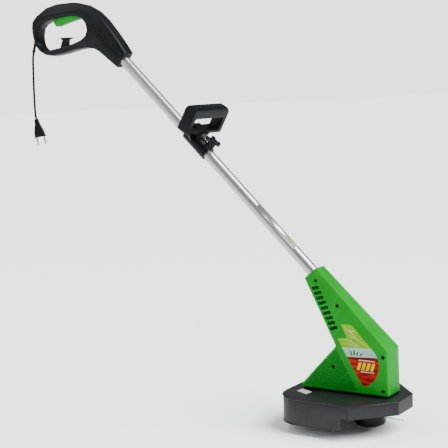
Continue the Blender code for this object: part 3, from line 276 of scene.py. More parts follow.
# %% Material helpers
def finish(name, roughness=0.5, metallic=0.0, colour=(0.8, 0.8, 0.8)):
    """A material with its even values set on the shader itself."""
    made = bpy.data.materials.new(name)
    made.use_nodes = True
    shader = made.node_tree.nodes["Principled BSDF"]
    shader.inputs["Base Color"].default_value = (*colour, 1)
    shader.inputs["Roughness"].default_value = roughness
    shader.inputs["Metallic"].default_value = metallic
    return made


def node(made, kind, **values):
    """A node of that kind with its inputs set by name."""
    added = made.node_tree.nodes.new(kind)
    for name, value in values.items():
        added.inputs[name.replace("_", " ")].default_value = value
    return added


def join_up(made, source, target):
    made.node_tree.links.new(source, target)


def pattern(made, kind, scale, stretch=(1, 1, 1), turn=(0, 0, 0), **values):
    """A texture's grey, in the object's coordinates, turned and then stretched."""
    place = node(made, "ShaderNodeTexCoord")
    turned_to = node(made, "ShaderNodeMapping", Rotation=turn)
    stretched = node(made, "ShaderNodeMapping", Scale=stretch)
    texture = node(made, kind, Scale=scale, **values)
    join_up(made, place.outputs["Object"], turned_to.inputs["Vector"])
    join_up(made, turned_to.outputs["Vector"], stretched.inputs["Vector"])
    join_up(made, stretched.outputs["Vector"], texture.inputs["Vector"])
    return texture.outputs["Distance" if kind == "ShaderNodeTexVoronoi" else "Fac"]


def tones(made, grey, dark, light, low=0.35, high=0.65):
    """The grey as a colour between two, fed to the shader's base colour."""
    ramp = node(made, "ShaderNodeValToRGB")
    for element, place, colour in zip(ramp.color_ramp.elements, (low, high), (dark, light)):
        element.position = place
        element.color = (*colour, 1)
    join_up(made, grey, ramp.inputs["Fac"])
    join_up(made, ramp.outputs["Color"], made.node_tree.nodes["Principled BSDF"].inputs["Base Color"])
    return ramp


def gloss(made, grey, low, high):
    """Roughness that wanders between two values."""
    spread = node(made, "ShaderNodeMapRange", To_Min=low, To_Max=high)
    join_up(made, grey, spread.inputs["Value"])
    join_up(made, spread.outputs["Result"], made.node_tree.nodes["Principled BSDF"].inputs["Roughness"])


def relief(made, grey, height, edge=0.0):
    """A bump of that height, over softened edges of that radius."""
    bump = node(made, "ShaderNodeBump", Distance=height, Strength=1.0)
    join_up(made, grey, bump.inputs["Height"])
    if edge:
        soft = node(made, "ShaderNodeBevel", Radius=edge)
        soft.samples = 4
        join_up(made, soft.outputs["Normal"], bump.inputs["Normal"])
    join_up(made, bump.outputs["Normal"], made.node_tree.nodes["Principled BSDF"].inputs["Normal"])

# %% [markdown]
# ## Moulded plastics
# Injection moulds are spark-eroded, which leaves a fine pebble on the handle, guard and head. Smooth
# polished moulds give the knob and the trigger their shine. One function makes them all from two close
# tones, a roughness range and the pebble's size. A little cloudiness in the tone keeps wide faces from
# looking painted.

# %% Moulded finishes
def moulded(name, dark, light, roughness, pebble, height, edge, shine):
    """Two close tones, a roughness range, and a pebble of that scale and height on edges rounded by `edge`."""
    made = finish(name)
    made.node_tree.nodes["Principled BSDF"].inputs["Specular IOR Level"].default_value = shine
    cloud = pattern(made, "ShaderNodeTexNoise", 14, Detail=5, Roughness=0.6)
    tones(made, cloud, dark, light)
    gloss(made, pattern(made, "ShaderNodeTexNoise", 60, Detail=3), *roughness)
    relief(made, pattern(made, "ShaderNodeTexVoronoi", pebble), height * MM, edge * MM)
    return made


FINISHES = {  # darkest tone, lightest tone, roughness, pebbles a metre, their height and the edge in mm, shine
    "handle_black": ((0.003, 0.004, 0.006), (0.006, 0.008, 0.011), (0.30, 0.40), 1500, 0.004, 1.2, 0.26),
    "loop_black": ((0.004, 0.005, 0.007), (0.007, 0.009, 0.012), (0.28, 0.38), 1700, 0.004, 1.0, 0.24),
    "knob_black": ((0.003, 0.004, 0.005), (0.005, 0.006, 0.007), (0.14, 0.22), 900, 0.004, 1.0, 0.45),
    "guard_black": ((0.012, 0.013, 0.014), (0.020, 0.021, 0.023), (0.28, 0.40), 1300, 0.012, 1.4, 0.55),
    "head_black": ((0.005, 0.006, 0.006), (0.009, 0.010, 0.011), (0.30, 0.42), 1600, 0.012, 0.6, 0.30),
    "plinth_black": ((0.003, 0.004, 0.004), (0.005, 0.006, 0.006), (0.42, 0.55), 1600, 0.012, 0.5, 0.20),
    "housing_green": ((0.001, 0.36, 0.014), (0.002, 0.44, 0.022), (0.36, 0.46), 1500, 0.010, 1.0, 0.18),
    # painted_shade_green is housing_green darkened: painted shade for the grooves between ribs and along the
    # steps down the front
    "painted_shade_green": ((0.001, 0.17, 0.010), (0.001, 0.23, 0.014), (0.36, 0.46), 1500, 0.010, 0.2, 0.18),
    "trigger_green": ((0.001, 0.40, 0.016), (0.001, 0.46, 0.024), (0.26, 0.34), 1500, 0.004, 1.2, 0.25),
    "switch_black": ((0.012, 0.012, 0.012), (0.020, 0.020, 0.020), (0.40, 0.55), 1500, 0.010, 0.3, 0.35),
    "natural_white": ((0.66, 0.65, 0.60), (0.78, 0.77, 0.73), (0.40, 0.55), 1500, 0.010, 0.3, 0.35),
    "sheath_black": ((0.002, 0.002, 0.003), (0.005, 0.005, 0.006), (0.36, 0.50), 1100, 0.010, 0.3, 0.30),
    "carbon_grey": ((0.016, 0.016, 0.017), (0.040, 0.040, 0.042), (0.50, 0.65), 2500, 0.030, 0.1, 0.35),
}
LOOK = {name: moulded(name, *values) for name, values in FINISHES.items()}
print(len(LOOK), "moulded finishes made")

# %% [markdown]
# ## The drawn tube
# Aluminium tube is pulled through a die, which leaves hair-fine lines along it and a satin, streaky
# shine. Noise stretched fifty times along the tube's own axis gives the lines; the same noise nudges
# the roughness, so each streak catches the lamps a little differently.

# %% Tube finish
TUBE_SLOPE = math.radians(44.2)
ALONG_TUBE = (0, math.pi / 2 - TUBE_SLOPE, 0)  # turns the texture so that its Z runs down the tube


def drawn_metal(name, dark, light, roughness, lines=1200, height=0.01, turn=(0, 0, 0), edge=0.3):
    """Bare metal with fine lines along its texture's Z, of that height in mm, and edges rounded by `edge` mm."""
    made = finish(name, metallic=1.0)
    streaks = pattern(made, "ShaderNodeTexNoise", lines, (1, 1, 0.02), turn, Detail=4, Roughness=0.7)
    tones(made, streaks, dark, light)
    gloss(made, streaks, *roughness)
    relief(made, streaks, height * MM, edge * MM)
    return made


drawn_metal("tube_satin", (0.80, 0.79, 0.77), (0.88, 0.87, 0.85), (0.29, 0.33), 300, 0.0003, ALONG_TUBE, 0)
print("tube finish made")

# %% [markdown]
# ## Small metals
# Turned and plated pieces need only a base metal and faint tool marks. Screws are blackened, the plug's
# pins are nickelled, the spindle nut is turned bright, and the motor's iron is a stack of thin sheets,
# which a wave texture across the stack shows as fine bands.

# %% Metal finishes
drawn_metal("plain_steel", (0.45, 0.45, 0.46), (0.62, 0.62, 0.62), (0.25, 0.40), 900)
turned_nut = drawn_metal("turned_nut", (0.62, 0.60, 0.56), (0.84, 0.82, 0.77), (0.25, 0.38), 1400, 0.004)
turned_nut.node_tree.nodes["Principled BSDF"].inputs["Metallic"].default_value = 0.45
drawn_metal("nickel_pins", (0.62, 0.60, 0.55), (0.78, 0.76, 0.71), (0.12, 0.24))
drawn_metal("brass", (0.62, 0.46, 0.18), (0.78, 0.60, 0.27), (0.20, 0.34))
drawn_metal("screw_black", (0.018, 0.018, 0.018), (0.045, 0.045, 0.045), (0.34, 0.50))


def banded(name, dark, light, bands, direction, roughness, metallic, height):
    """Fine even bands, as of sheets or turns of wire, of that height in mm."""
    made = finish(name, roughness, metallic)
    wave = pattern(made, "ShaderNodeTexWave", bands)
    texture = next(n for n in made.node_tree.nodes if n.type == "TEX_WAVE")
    texture.bands_direction = direction
    tones(made, wave, dark, light, 0.1, 0.6)
    relief(made, wave, height * MM)


banded("sheet_iron", (0.10, 0.10, 0.11), (0.34, 0.34, 0.36), 320, "Z", 0.45, 1.0, 0.1)
banded("copper_turns", (0.24, 0.07, 0.02), (0.72, 0.30, 0.13), 480, "Z", 0.30, 1.0, 0.15)
banded("copper_bars", (0.10, 0.05, 0.03), (0.74, 0.36, 0.18), 260, "DIAGONAL", 0.28, 1.0, 0.1)
banded("line_turns", (0.10, 0.34, 0.03), (0.32, 0.70, 0.12), 160, "Z", 0.35, 0.0, 0.4)
print("metal and banded finishes made")

# %% [markdown]
# ## The nylon line's finish
# Clear green nylon lets some light through, so a thin line looks brighter than its surface alone would.
# A little light of its own and a little scattering under the surface stand for that.

# %% Translucent nylon
LINE_GREEN = finish("line_green", 0.45)
tones(LINE_GREEN, pattern(LINE_GREEN, "ShaderNodeTexNoise", 240, Detail=3),
      (0.08, 0.74, 0.005), (0.12, 0.84, 0.010))
relief(LINE_GREEN, pattern(LINE_GREEN, "ShaderNodeTexNoise", 900, Detail=2), 0.02 * MM)
GLOW = {"Specular IOR Level": 0.15, "Emission Color": (0.10, 0.80, 0.01, 1), "Emission Strength": 0.30,
        "Subsurface Weight": 0.08, "Subsurface Radius": (0.001, 0.002, 0.001)}
for socket, value in GLOW.items():
    LINE_GREEN.node_tree.nodes["Principled BSDF"].inputs[socket].default_value = value
print("line finish made")

# %% [markdown]
# ## Finishes on the solid parts
# The solid parts keep their own shapes. Each gets its finish by name, and a part that is left out of
# the list stops the script, so none keeps the plain colour it came with.

# %% Dress the solid parts
DRESS = {
    "handle_black": ["handle_shell_left", "handle_shell_right"],
    "loop_black": ["aux_handle"],
    "knob_black": ["aux_clamp_knob"],
    "guard_black": ["guard"],
    "head_black": ["head_cap", "head_cover"],
    "plinth_black": ["base_plate"],
    "housing_green": ["housing_left", "housing_right"],
    "trigger_green": ["trigger"],
    "switch_black": ["switch_body", "brush_holder_1", "brush_holder_2"],
    "natural_white": ["line_spool", "switch_plunger", "cooling_fan"],
    "sheath_black": ["cord_boot", "power_cord", "supply_lead", "motor_lead", "plug_body"],
    "tube_satin": ["main_tube"],
    "plain_steel": ["trigger_pin", "trigger_spring", "motor_shaft", "lower_bearing", "upper_bearing",
                    "line_cutter", "line_cutter_screw", "line_eyelet", "aux_clamp_nut", "aux_clamp_stud"],
    "turned_nut": ["spindle_nut"],
    "nickel_pins": ["plug_pin_1", "plug_pin_2"],
    "brass": ["aux_brake_shoe"],
    "screw_black": ["handle_tube_screw", *(f"handle_screw_{n}" for n in range(1, 4)),
                    *(f"guard_screw_{n}" for n in range(1, 5)), *(f"housing_screw_{n}" for n in range(1, 6))],
    "sheet_iron": ["stator_core", "armature_core"],
    "copper_turns": ["field_coil_front", "field_coil_rear"],
    "copper_bars": ["commutator"],
    "carbon_grey": ["carbon_brush_1", "carbon_brush_2"],
    "line_turns": ["wound_line"],
    "line_green": ["cutting_line"],
}


def dress(piece, look):
    """The piece wears one finish all over."""
    piece.data.materials.clear()
    piece.data.materials.append(bpy.data.materials[look] if isinstance(look, str) else look)


def soft_shading(limit):
    """A node group that joins split corners and shades smoothly across every edge flatter than the limit."""
    tree = bpy.data.node_groups.new("soft_shading", "GeometryNodeTree")
    tree.interface.new_socket("Geometry", in_out="INPUT", socket_type="NodeSocketGeometry")
    tree.interface.new_socket("Geometry", in_out="OUTPUT", socket_type="NodeSocketGeometry")
    start, end = tree.nodes.new("NodeGroupInput"), tree.nodes.new("NodeGroupOutput")
    joined = tree.nodes.new("GeometryNodeMergeByDistance")
    joined.inputs["Distance"].default_value = 0.00001
    faces, edges = tree.nodes.new("GeometryNodeSetShadeSmooth"), tree.nodes.new("GeometryNodeSetShadeSmooth")
    edges.domain = "EDGE"
    edges.inputs["Shade Smooth"].default_value = False
    bend, sharp = tree.nodes.new("GeometryNodeInputMeshEdgeAngle"), tree.nodes.new("FunctionNodeCompare")
    sharp.data_type, sharp.operation = "FLOAT", "GREATER_THAN"
    sharp.inputs["B"].default_value = math.radians(limit)
    tree.links.new(bend.outputs["Unsigned Angle"], sharp.inputs["A"])
    tree.links.new(sharp.outputs["Result"], edges.inputs["Selection"])
    for source, target in ((start, joined), (joined, faces), (faces, edges), (edges, end)):
        tree.links.new(source.outputs["Geometry"] if source.outputs.get("Geometry") else source.outputs[0],
                       target.inputs["Geometry"])
    return tree


SOFT = soft_shading(34)
for look, names in DRESS.items():
    for name in names:
        dress(nodes[name], look)
        if nodes[name].data.attributes.get("custom_normal"):
            nodes[name].data.attributes.remove(nodes[name].data.attributes["custom_normal"])
        nodes[name].modifiers.new("soft_shading", "NODES").node_group = SOFT
left_out = set(nodes) - {name for names in DRESS.values() for name in names}
if left_out:
    raise ValueError(f"no finish for {sorted(left_out)}")
dress(supply_cord, LOOK["sheath_black"])
dress(nylon_line, LINE_GREEN)
print(len(DRESS), "finishes on", len(nodes), "parts")

# %% [markdown]
# ## Shapes for fine detail
# The details below are thin: a label is a tenth of a millimetre, a rib half a millimetre. They are
# drawn flat as outlines in the part's own millimetres and then lifted on to the surface. `housing_sheet`
# cuts the outline wherever the surface bends, so a label folds over the crease as paper would.

# %% Outline helpers
HOUSING_HALF, MOUTH_HALF, NOSE_Z, HOUSING_TOP_Z = 28.7, 17.0, 102.0, 267.0


def housing_half_at(z):
    """Half the motor housing's width at that height, in millimetres."""
    return HOUSING_HALF + (MOUTH_HALF - HOUSING_HALF) * max(0.0, z - NOSE_Z) / (HOUSING_TOP_Z - NOSE_Z)


def mesh_object(name, mesh, look, body):
    """The bmesh as a piece that rides on a body."""
    bmesh.ops.recalc_face_normals(mesh, faces=mesh.faces)
    data = bpy.data.meshes.new(name)
    mesh.to_mesh(data)
    mesh.free()
    made = link(name, data)
    dress(made, look)
    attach(made, body)
    return made


def housing_sheet(name, outline, side, look, lift=0.05, thick=0.12):
    """A thin sheet on the side of the motor housing, from an outline in millimetres from the spindle."""
    mesh = bmesh.new()
    mesh.faces.new([mesh.verts.new((x, 0, z)) for x, z in outline])
    everything = mesh.verts[:] + mesh.edges[:] + mesh.faces[:]
    bmesh.ops.bisect_plane(mesh, geom=everything, plane_co=(0, 0, NOSE_Z), plane_no=(0, 0, 1))
    back = mesh.faces[:]
    made = bmesh.ops.extrude_face_region(mesh, geom=back)
    front = {v for v in made["geom"] if isinstance(v, bmesh.types.BMVert)}
    for vert in mesh.verts:
        reach = housing_half_at(vert.co.z) + lift + (thick if vert in front else 0)
        vert.co = HEAD + Vector((vert.co.x, side * reach, vert.co.z)) * MM
    return mesh_object(name, mesh, look, "frame")

# %% [markdown]
# ## The side label
# A printed film runs down the motor housing: a lime field with pale grass strokes, an aqua band and a
# red field with darker streaks, all cut to one shape with a rounded lower end. The maker's words and
# numbers are left off; three blades of grass and slanting bars stand in their places.

# %% Label inks
def ink(name, dark, light, scale=30, stretch=(1, 1, 1)):
    """Glossy printed film in two close tones."""
    made = finish(name, 0.4)
    made.node_tree.nodes["Principled BSDF"].inputs["Specular IOR Level"].default_value = 0.12
    tones(made, pattern(made, "ShaderNodeTexNoise", scale, stretch, Detail=3), dark, light, 0.4, 0.6)
    gloss(made, pattern(made, "ShaderNodeTexNoise", 90), 0.34, 0.46)
    return made


INK_LIME = ink("ink_lime", (0.30, 0.66, 0.001), (0.38, 0.74, 0.002))
INK_AQUA = ink("ink_aqua", (0.50, 0.82, 0.70), (0.62, 0.88, 0.80))
INK_RED = ink("ink_red", (0.22, 0.004, 0.003), (0.70, 0.014, 0.008), 70, (0.35, 1, 2.4))
INK_PALE = ink("ink_pale", (0.74, 0.86, 0.50), (0.84, 0.92, 0.66))
INK_GREEN = ink("ink_green", (0.004, 0.20, 0.05), (0.006, 0.26, 0.07))
INK_YELLOW = ink("ink_yellow", (0.95, 0.74, 0.001), (1.0, 0.80, 0.002))
INK_WHITE = ink("ink_white", (0.80, 0.80, 0.78), (0.88, 0.88, 0.87))

# %% Label fields
LIME_FIELD = [(-49, 150.6), (-22.7, 150), (-15, 142), (22.7, 104.1), (-46.6, 100.9), (-57.7, 119.6),
              (-34.2, 121.7)]
AQUA_FIELD = [(-46.6, 100.9), (22.7, 104.1), (30.5, 95.5), (36.4, 85.8), (-35, 81.9)]
RED_FIELD = [(-35, 81.9), (36.4, 85.8), (38.9, 76), (39.4, 66), (37.6, 55), (32, 43), (24, 33), (15.5, 25.8),
             (8, 22.4), (2, 22), (-1.7, 24.4)]
GRASS_STROKES = [[(-47, 148), (-26, 136.5), (-9, 121), (-10, 120.2), (-27, 135.2)],
                 [(-43, 140), (-20, 138), (-12, 139), (-20, 136.6)],
                 [(-38, 132), (-14, 124), (6, 112), (5, 111.2), (-15, 122.6)],
                 [(-55, 118), (-28, 118), (-4, 107), (-5, 106.2), (-29, 116.6)],
                 [(-50, 110), (-26, 110.5), (-10, 105), (-11, 104.2), (-27, 109.2)]]


def blade(x, lean, tall):
    """One blade of grass on the aqua band."""
    return [(x, 86.5), (x + 4.4, 86.6), (x + 4.0 + lean * 0.5, 86.5 + tall * 0.6),
            (x + lean + 2.2, 86.5 + tall), (x + 0.3 + lean * 0.4, 86.5 + tall * 0.55)]


def slant(x, low, high, width):
    """One slanting bar."""
    lean = (high - low) * 0.35
    return [(x, low), (x + width, low), (x + width + lean, high), (x + lean, high)]


BLADES = ((-26, -4, 11), (-20, 0, 13.5), (-14, 5, 10.5), (-6, 7, 8))
ON_FIELD = (0.17, 0.05)  # lift and thickness of what is printed over a field, in millimetres
SIDES = ((-1, "right"), (1, "left"))
for side, hand in SIDES:
    housing_sheet(f"label_lime_{hand}", LIME_FIELD, side, INK_LIME)
    housing_sheet(f"label_aqua_{hand}", AQUA_FIELD, side, INK_AQUA)
    housing_sheet(f"label_red_{hand}", RED_FIELD, side, INK_RED)
    for number, stroke in enumerate(GRASS_STROKES):
        housing_sheet(f"label_stroke_{number}_{hand}", stroke, side, INK_PALE, *ON_FIELD)
    for number, (x, lean, tall) in enumerate(BLADES):
        housing_sheet(f"label_blade_{number}_{hand}", blade(x, lean, tall), side, INK_GREEN, *ON_FIELD)
    for number in range(4):
        bar = slant(-13 + number * 10.5, 56, 72.5, 7.0)
        housing_sheet(f"label_bar_{number}_{hand}", bar, side, INK_YELLOW, *ON_FIELD)
    housing_sheet(f"label_rule_top_{hand}", slant(-8, 76.5, 78.3, 38), side, INK_WHITE, *ON_FIELD)
    housing_sheet(f"label_rule_low_{hand}", slant(-4, 52, 53.6, 32), side, INK_WHITE, *ON_FIELD)
print("labels on both sides")

# %% [markdown]
# ## The ribbed panel
# The lower rear corner of the housing is moulded with fine slanting ribs, which give the hand a hold
# and hide scuffs. A bump would vanish at the panel's edge and in a side view, so the ribs are real:
# parallel lines are clipped to the panel's outline, and each becomes a low three-sided ridge. The ribs
# are a darker green than the housing: painted shade for the shadow in the grooves between them.

# %% Ribs clipped to an outline
PANEL = [(-60.5, 96.0), (-11.0, 9.5), (-144.0, 9.5)]
RIB_PITCH, RIB_WIDTH, RIB_HEIGHT = 3.7, 2.1, 1.0


def clip_line(outline, start, direction):
    """Where a line enters and leaves a convex outline, as distances along it."""
    hits = []
    for (ax, az), (bx, bz) in zip(outline, outline[1:] + outline[:1]):
        ex, ez = bx - ax, bz - az
        cross = direction[0] * ez - direction[1] * ex
        if abs(cross) < 1e-9:
            continue
        along = ((ax - start[0]) * ez - (az - start[1]) * ex) / cross
        share = ((ax - start[0]) * direction[1] - (az - start[1]) * direction[0]) / cross
        if 0 <= share <= 1:
            hits.append(along)
    return (min(hits), max(hits)) if len(hits) > 1 else None


SCREW_IN_PANEL, SCREW_CLEAR = Vector((-69.8, 56.0)), 5.4
MOST_RIBS = 90


def add_rib(mesh, start, direction, across, ends, side):
    """A three-sided ridge between two distances along a line of the panel."""
    rings = []
    for along in ends:
        centre = start + direction * along
        ring = []
        for offset, height in ((-RIB_WIDTH / 2, -0.1), (0, RIB_HEIGHT), (RIB_WIDTH / 2, -0.1)):
            x, z = centre + across * offset
            ring.append(mesh.verts.new(HEAD + Vector((x, side * (HOUSING_HALF + height), z)) * MM))
        rings.append(ring)
    for i in range(3):
        j = (i + 1) % 3
        mesh.faces.new((rings[0][i], rings[0][j], rings[1][j], rings[1][i]))
    mesh.faces.new(rings[0])
    mesh.faces.new(rings[1])


def ribbed_panel(name, side):
    """Ribs over the whole panel, stopping short of the screw, and how many there are."""
    direction = Vector((87.6, 91.0)).normalized()
    across = Vector((direction.y, -direction.x))
    mesh = bmesh.new()
    count = 0
    for step in range(MOST_RIBS):
        start = Vector(PANEL[2]) + across * (1.0 + step * RIB_PITCH)
        reach = clip_line(PANEL, start, direction)
        if reach is None or reach[1] - reach[0] < 3:
            continue
        pieces = [(reach[0] + 0.6, reach[1] - 0.6)]
        aside = abs((SCREW_IN_PANEL - start).dot(across))
        if aside < SCREW_CLEAR:
            middle = (SCREW_IN_PANEL - start).dot(direction)
            half = math.sqrt(SCREW_CLEAR ** 2 - aside ** 2)
            pieces = [(pieces[0][0], middle - half), (middle + half, pieces[0][1])]
        for ends in pieces:
            if ends[1] - ends[0] > 1:
                add_rib(mesh, start, direction, across, ends, side)
                count += 1
    # the ribs wear painted shade: a darker green standing for the shadow in the grooves
    return mesh_object(name, mesh, LOOK["painted_shade_green"], "frame"), count


for side, hand in SIDES:
    _, ribs = ribbed_panel(f"ribbed_panel_{hand}", side)
print(ribs, "ribs a side")

# %% [markdown]
# ## Lines down the front
# The two mouldings of the housing meet down the middle of its slanted front, and a shallow step runs
# beside the joint on each side. At this size they are hair lines, so each is a narrow strip that lies
# just proud of the face and bends with it over the nose. The strips are a darker green: painted shade
# for the shadow in the joint and along the steps.

# %% Hair lines on the front face
FRONT = [(-107.5, 265.0), (58.5, 102.0), (58.5, 8.0)]


def front_line(name, share, width, look):
    """A narrow strip down the front at that share of the housing's half width, in millimetres."""
    mesh = bmesh.new()
    rows = []
    for x, z in FRONT:
        out = Vector((0.7, 0, 0.7)) if z > 150 else Vector((0.9, 0, 0.4)) if z > 50 else Vector((1, 0, 0))
        middle = Vector((x, share * housing_half_at(z), z))
        corners = ((-width / 2, -0.2), (-width / 2, 0.15), (width / 2, 0.15), (width / 2, -0.2))
        rows.append([mesh.verts.new(HEAD + (middle + Vector((0, across, 0)) + out * lift) * MM)
                     for across, lift in corners])
    for first, second in zip(rows, rows[1:]):
        for i in range(4):
            mesh.faces.new((first[i], first[(i + 1) % 4], second[(i + 1) % 4], second[i]))
    mesh.faces.new(rows[0])
    mesh.faces.new(rows[-1])
    return mesh_object(name, mesh, LOOK[look], "frame")


# the strips' darker green is painted shade for the joint and the steps
front_line("parting_line", 0.0, 0.7, "painted_shade_green")
front_line("front_step_right", -0.42, 0.9, "painted_shade_green")
front_line("front_step_left", 0.42, 0.9, "painted_shade_green")
print("three lines down the front")

# %% [markdown]
# ## Black cups of painted shade round the housing's screws
# The five housing screws sit at the bottom of blind holes. A thin black cup lines each hole, from the
# screw's head to just under the green face. The black is painted shade: the hole's walls are green,
# and the cup stands for the dark inside them. It is lathed: a ring of four points spun about the screw.

# %% Black cups of painted shade
CUP_OUT, CUP_IN = 3.85, 3.45  # radii in millimetres


def screw_hole_shade(name, screw):
    """A black lining of painted shade for the screw's hole, and how deep it is in metres."""
    low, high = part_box(screw)
    x, z = (low.x + high.x) / 2, (low.z + high.z) / 2
    outside = -housing_half_at((z - HEAD.z) / MM) * MM + 0.25 * MM
    rings = []
    mesh = bmesh.new()
    for radius, y in ((CUP_OUT, low.y), (CUP_OUT, outside), (CUP_IN, outside), (CUP_IN, low.y)):
        ring = []
        for step in range(32):
            angle = 2 * math.pi * step / 32
            ring.append(mesh.verts.new((x + radius * MM * math.cos(angle), y, z + radius * MM * math.sin(angle))))
        rings.append(ring)
    for first, second in zip(rings, rings[1:] + rings[:1]):
        for i in range(32):
            mesh.faces.new((first[i], first[(i + 1) % 32], second[(i + 1) % 32], second[i]))
    # plinth_black here is painted shade for the inside of the green hole
    made = mesh_object(name, mesh, LOOK["plinth_black"], "frame")
    made.data.shade_smooth()
    made.data.set_sharp_from_angle(angle=math.radians(40))
    return outside - low.y


for number in range(1, 6):
    deep = screw_hole_shade(f"screw_hole_shade_{number}", f"housing_screw_{number}")
    print("cup", number, "is", round(deep * 1000, 1), "mm deep")

# %% [markdown]
# ## The sleeve's raised strips
# Two long strips with pointed upper ends stiffen each side of the handle's sleeve and lead the eye
# down to the tube. Each is a flat outline beside the tube's axis, extruded and given a small bevel so
# that its edges catch the light.

# %% Strips beside the tube
MOUTH = Vector((162, 0, -130.5))
DOWN = Vector((math.cos(TUBE_SLOPE), 0, -math.sin(TUBE_SLOPE)))
OUT = Vector((math.sin(TUBE_SLOPE), 0, math.cos(TUBE_SLOPE)))
HANDLE_HALF = 17.0


def bevel_edges(piece, width, segments=2):
    """Rounded edges by a modifier, which stays adjustable."""
    soft = piece.modifiers.new("soft_edges", "BEVEL")
    soft.width, soft.segments = width * MM, segments
    soft.limit_method = "ANGLE"
    piece.data.shade_smooth()
    piece.data.set_sharp_from_angle(angle=math.radians(40))


def sleeve_strip(name, outline, side, proud=1.5):
    """A strip from an outline of (down the tube, outwards) in millimetres from the sleeve's mouth."""
    mesh = bmesh.new()
    low, high = [], []
    for down, out in outline:
        flat = MOUTH + DOWN * down + OUT * out
        low.append(mesh.verts.new((flat + Vector((0, side * (HANDLE_HALF - 0.6), 0))) * MM))
        high.append(mesh.verts.new((flat + Vector((0, side * (HANDLE_HALF + proud), 0))) * MM))
    mesh.faces.new(low)
    mesh.faces.new(high)
    for i in range(len(low)):
        j = (i + 1) % len(low)
        mesh.faces.new((low[i], low[j], high[j], high[i]))
    made = mesh_object(name, mesh, LOOK["handle_black"], "frame")
    bevel_edges(made, 0.8, 3)
    return made


INNER_STRIP = [(-116, -2), (-108, 3.2), (-14, 3.2), (-14, -7), (-104, -7)]
OUTER_STRIP = [(-112, 9), (-104, 14), (-4, 14), (-4, 5.6), (-108, 5.6)]
sleeve_strip("sleeve_strip_inner_right", INNER_STRIP, -1)
sleeve_strip("sleeve_strip_outer_right", OUTER_STRIP, -1)
sleeve_strip("sleeve_strip_outer_left", OUTER_STRIP, 1)
sleeve_strip("sleeve_strip_upper_left", [(-116, -2), (-108, 3.2), (-56, 3.2), (-56, -7), (-104, -7)], 1)
sleeve_strip("sleeve_strip_lower_left", [(-36, 3.2), (-14, 3.2), (-14, -7), (-36, -7)], 1)
print("two strips on the right of the sleeve, three on the left where a screw passes")

# %% [markdown]
# ## The label round the tube
# A silvery film with a broken yellow border is wrapped part of the way round the tube above the motor.
# Its sheet and its yellow dashes are patches of a slightly larger cylinder, made from rings of points.

# %% Curved patches on the tube
TUBE_RADIUS = 12.7


def tube_patch(name, down_from, down_to, turn_from, turn_to, look, lift=0.1):
    """A patch of film: millimetres down the tube from the sleeve, and degrees round from its upper side."""
    mesh = bmesh.new()
    steps = max(2, int(abs(turn_to - turn_from) / 6))
    rows = []
    for down in (down_from, down_to):
        row = []
        for step in range(steps + 1):
            angle = math.radians(turn_from + (turn_to - turn_from) * step / steps)
            radial = OUT * math.cos(angle) + Vector((0, math.sin(angle), 0))
            row.append(mesh.verts.new((MOUTH + DOWN * down + radial * (TUBE_RADIUS + lift)) * MM))
        rows.append(row)
    for i in range(steps):
        mesh.faces.new((rows[0][i], rows[0][i + 1], rows[1][i + 1], rows[1][i]))
    made = mesh_object(name, mesh, look, "frame")
    film = made.modifiers.new("film", "SOLIDIFY")
    film.thickness, film.offset = 0.08 * MM, 0
    made.data.shade_smooth()
    return made


INK_SILVER = finish("ink_silver", 0.3, 0.85)
tones(INK_SILVER, pattern(INK_SILVER, "ShaderNodeTexNoise", 40, Detail=2), (0.76, 0.76, 0.74), (0.86, 0.86, 0.85))
gloss(INK_SILVER, pattern(INK_SILVER, "ShaderNodeTexNoise", 80), 0.26, 0.38)
tube_patch("tube_label", 492, 622, -62, 22, INK_SILVER)
for number in range(9):
    start = 495 + number * 14
    tube_patch(f"tube_label_dash_{number}", start, start + 8.5, 12, 20, INK_YELLOW, 0.2)
tube_patch("tube_label_block", 596, 612, -14, 2, INK_YELLOW, 0.2)
print("tube label with 9 dashes")

# %% [markdown]
# ## The guard's details
# The deep rear skirt ends in a small outward lip that stiffens it, a ridge marks the corner where the
# shallow front begins, and a blank white film is stuck on the deck behind the motor.

# %% Lip, ridge and film on the guard
GUARD_HALF, GUARD_BACK, GUARD_CORNER, DEEP_END, SKIRT_FOOT = 110.0, -175.0, 60.0, -12.0, -57.0
RIM_LEVEL = -1.1
FRONT_CORNERS = [(10, -111), (84.4, -34.5), (84.4, 34.5), (10, 111)]


def swept(name, route, profile, look, body):
    """A bar with that profile (outwards, up) along a level route of (point, outward direction)."""
    mesh = bmesh.new()
    rings = [[mesh.verts.new(HEAD + (Vector(point) + Vector(outward) * out + Vector((0, 0, up))) * MM)
              for out, up in profile] for point, outward in route]
    for first, second in zip(rings, rings[1:]):
        for i in range(len(profile)):
            j = (i + 1) % len(profile)
            mesh.faces.new((first[i], first[j], second[j], second[i]))
    mesh.faces.new(rings[0])
    mesh.faces.new(rings[-1])
    made = mesh_object(name, mesh, look, body)
    bevel_edges(made, 0.3)
    return made


skirt = [((DEEP_END, GUARD_HALF, SKIRT_FOOT), (0, 1, 0))]
for quarter in (1, -1):
    for step in range(13):
        turn = math.pi / 2 * (1 + (step / 12 if quarter > 0 else 1 - step / 12))
        outward = Vector((math.cos(turn), quarter * math.sin(turn), 0))
        centre = Vector((GUARD_BACK + GUARD_CORNER, quarter * (GUARD_HALF - GUARD_CORNER), SKIRT_FOOT))
        skirt.append((centre + outward * GUARD_CORNER, outward))
skirt.append(((DEEP_END, -GUARD_HALF, SKIRT_FOOT), (0, -1, 0)))
LIP_SECTION = [(-0.5, 0.1), (1.3, 0.1), (1.3, 1.7), (0.6, 2.6), (-0.5, 3.2)]
swept("guard_lip", skirt, LIP_SECTION, LOOK["guard_black"], "frame")

deck = [Vector((x, y, RIM_LEVEL)) for x, y in [(x, y) for (x, y, _), _ in skirt] + FRONT_CORNERS]


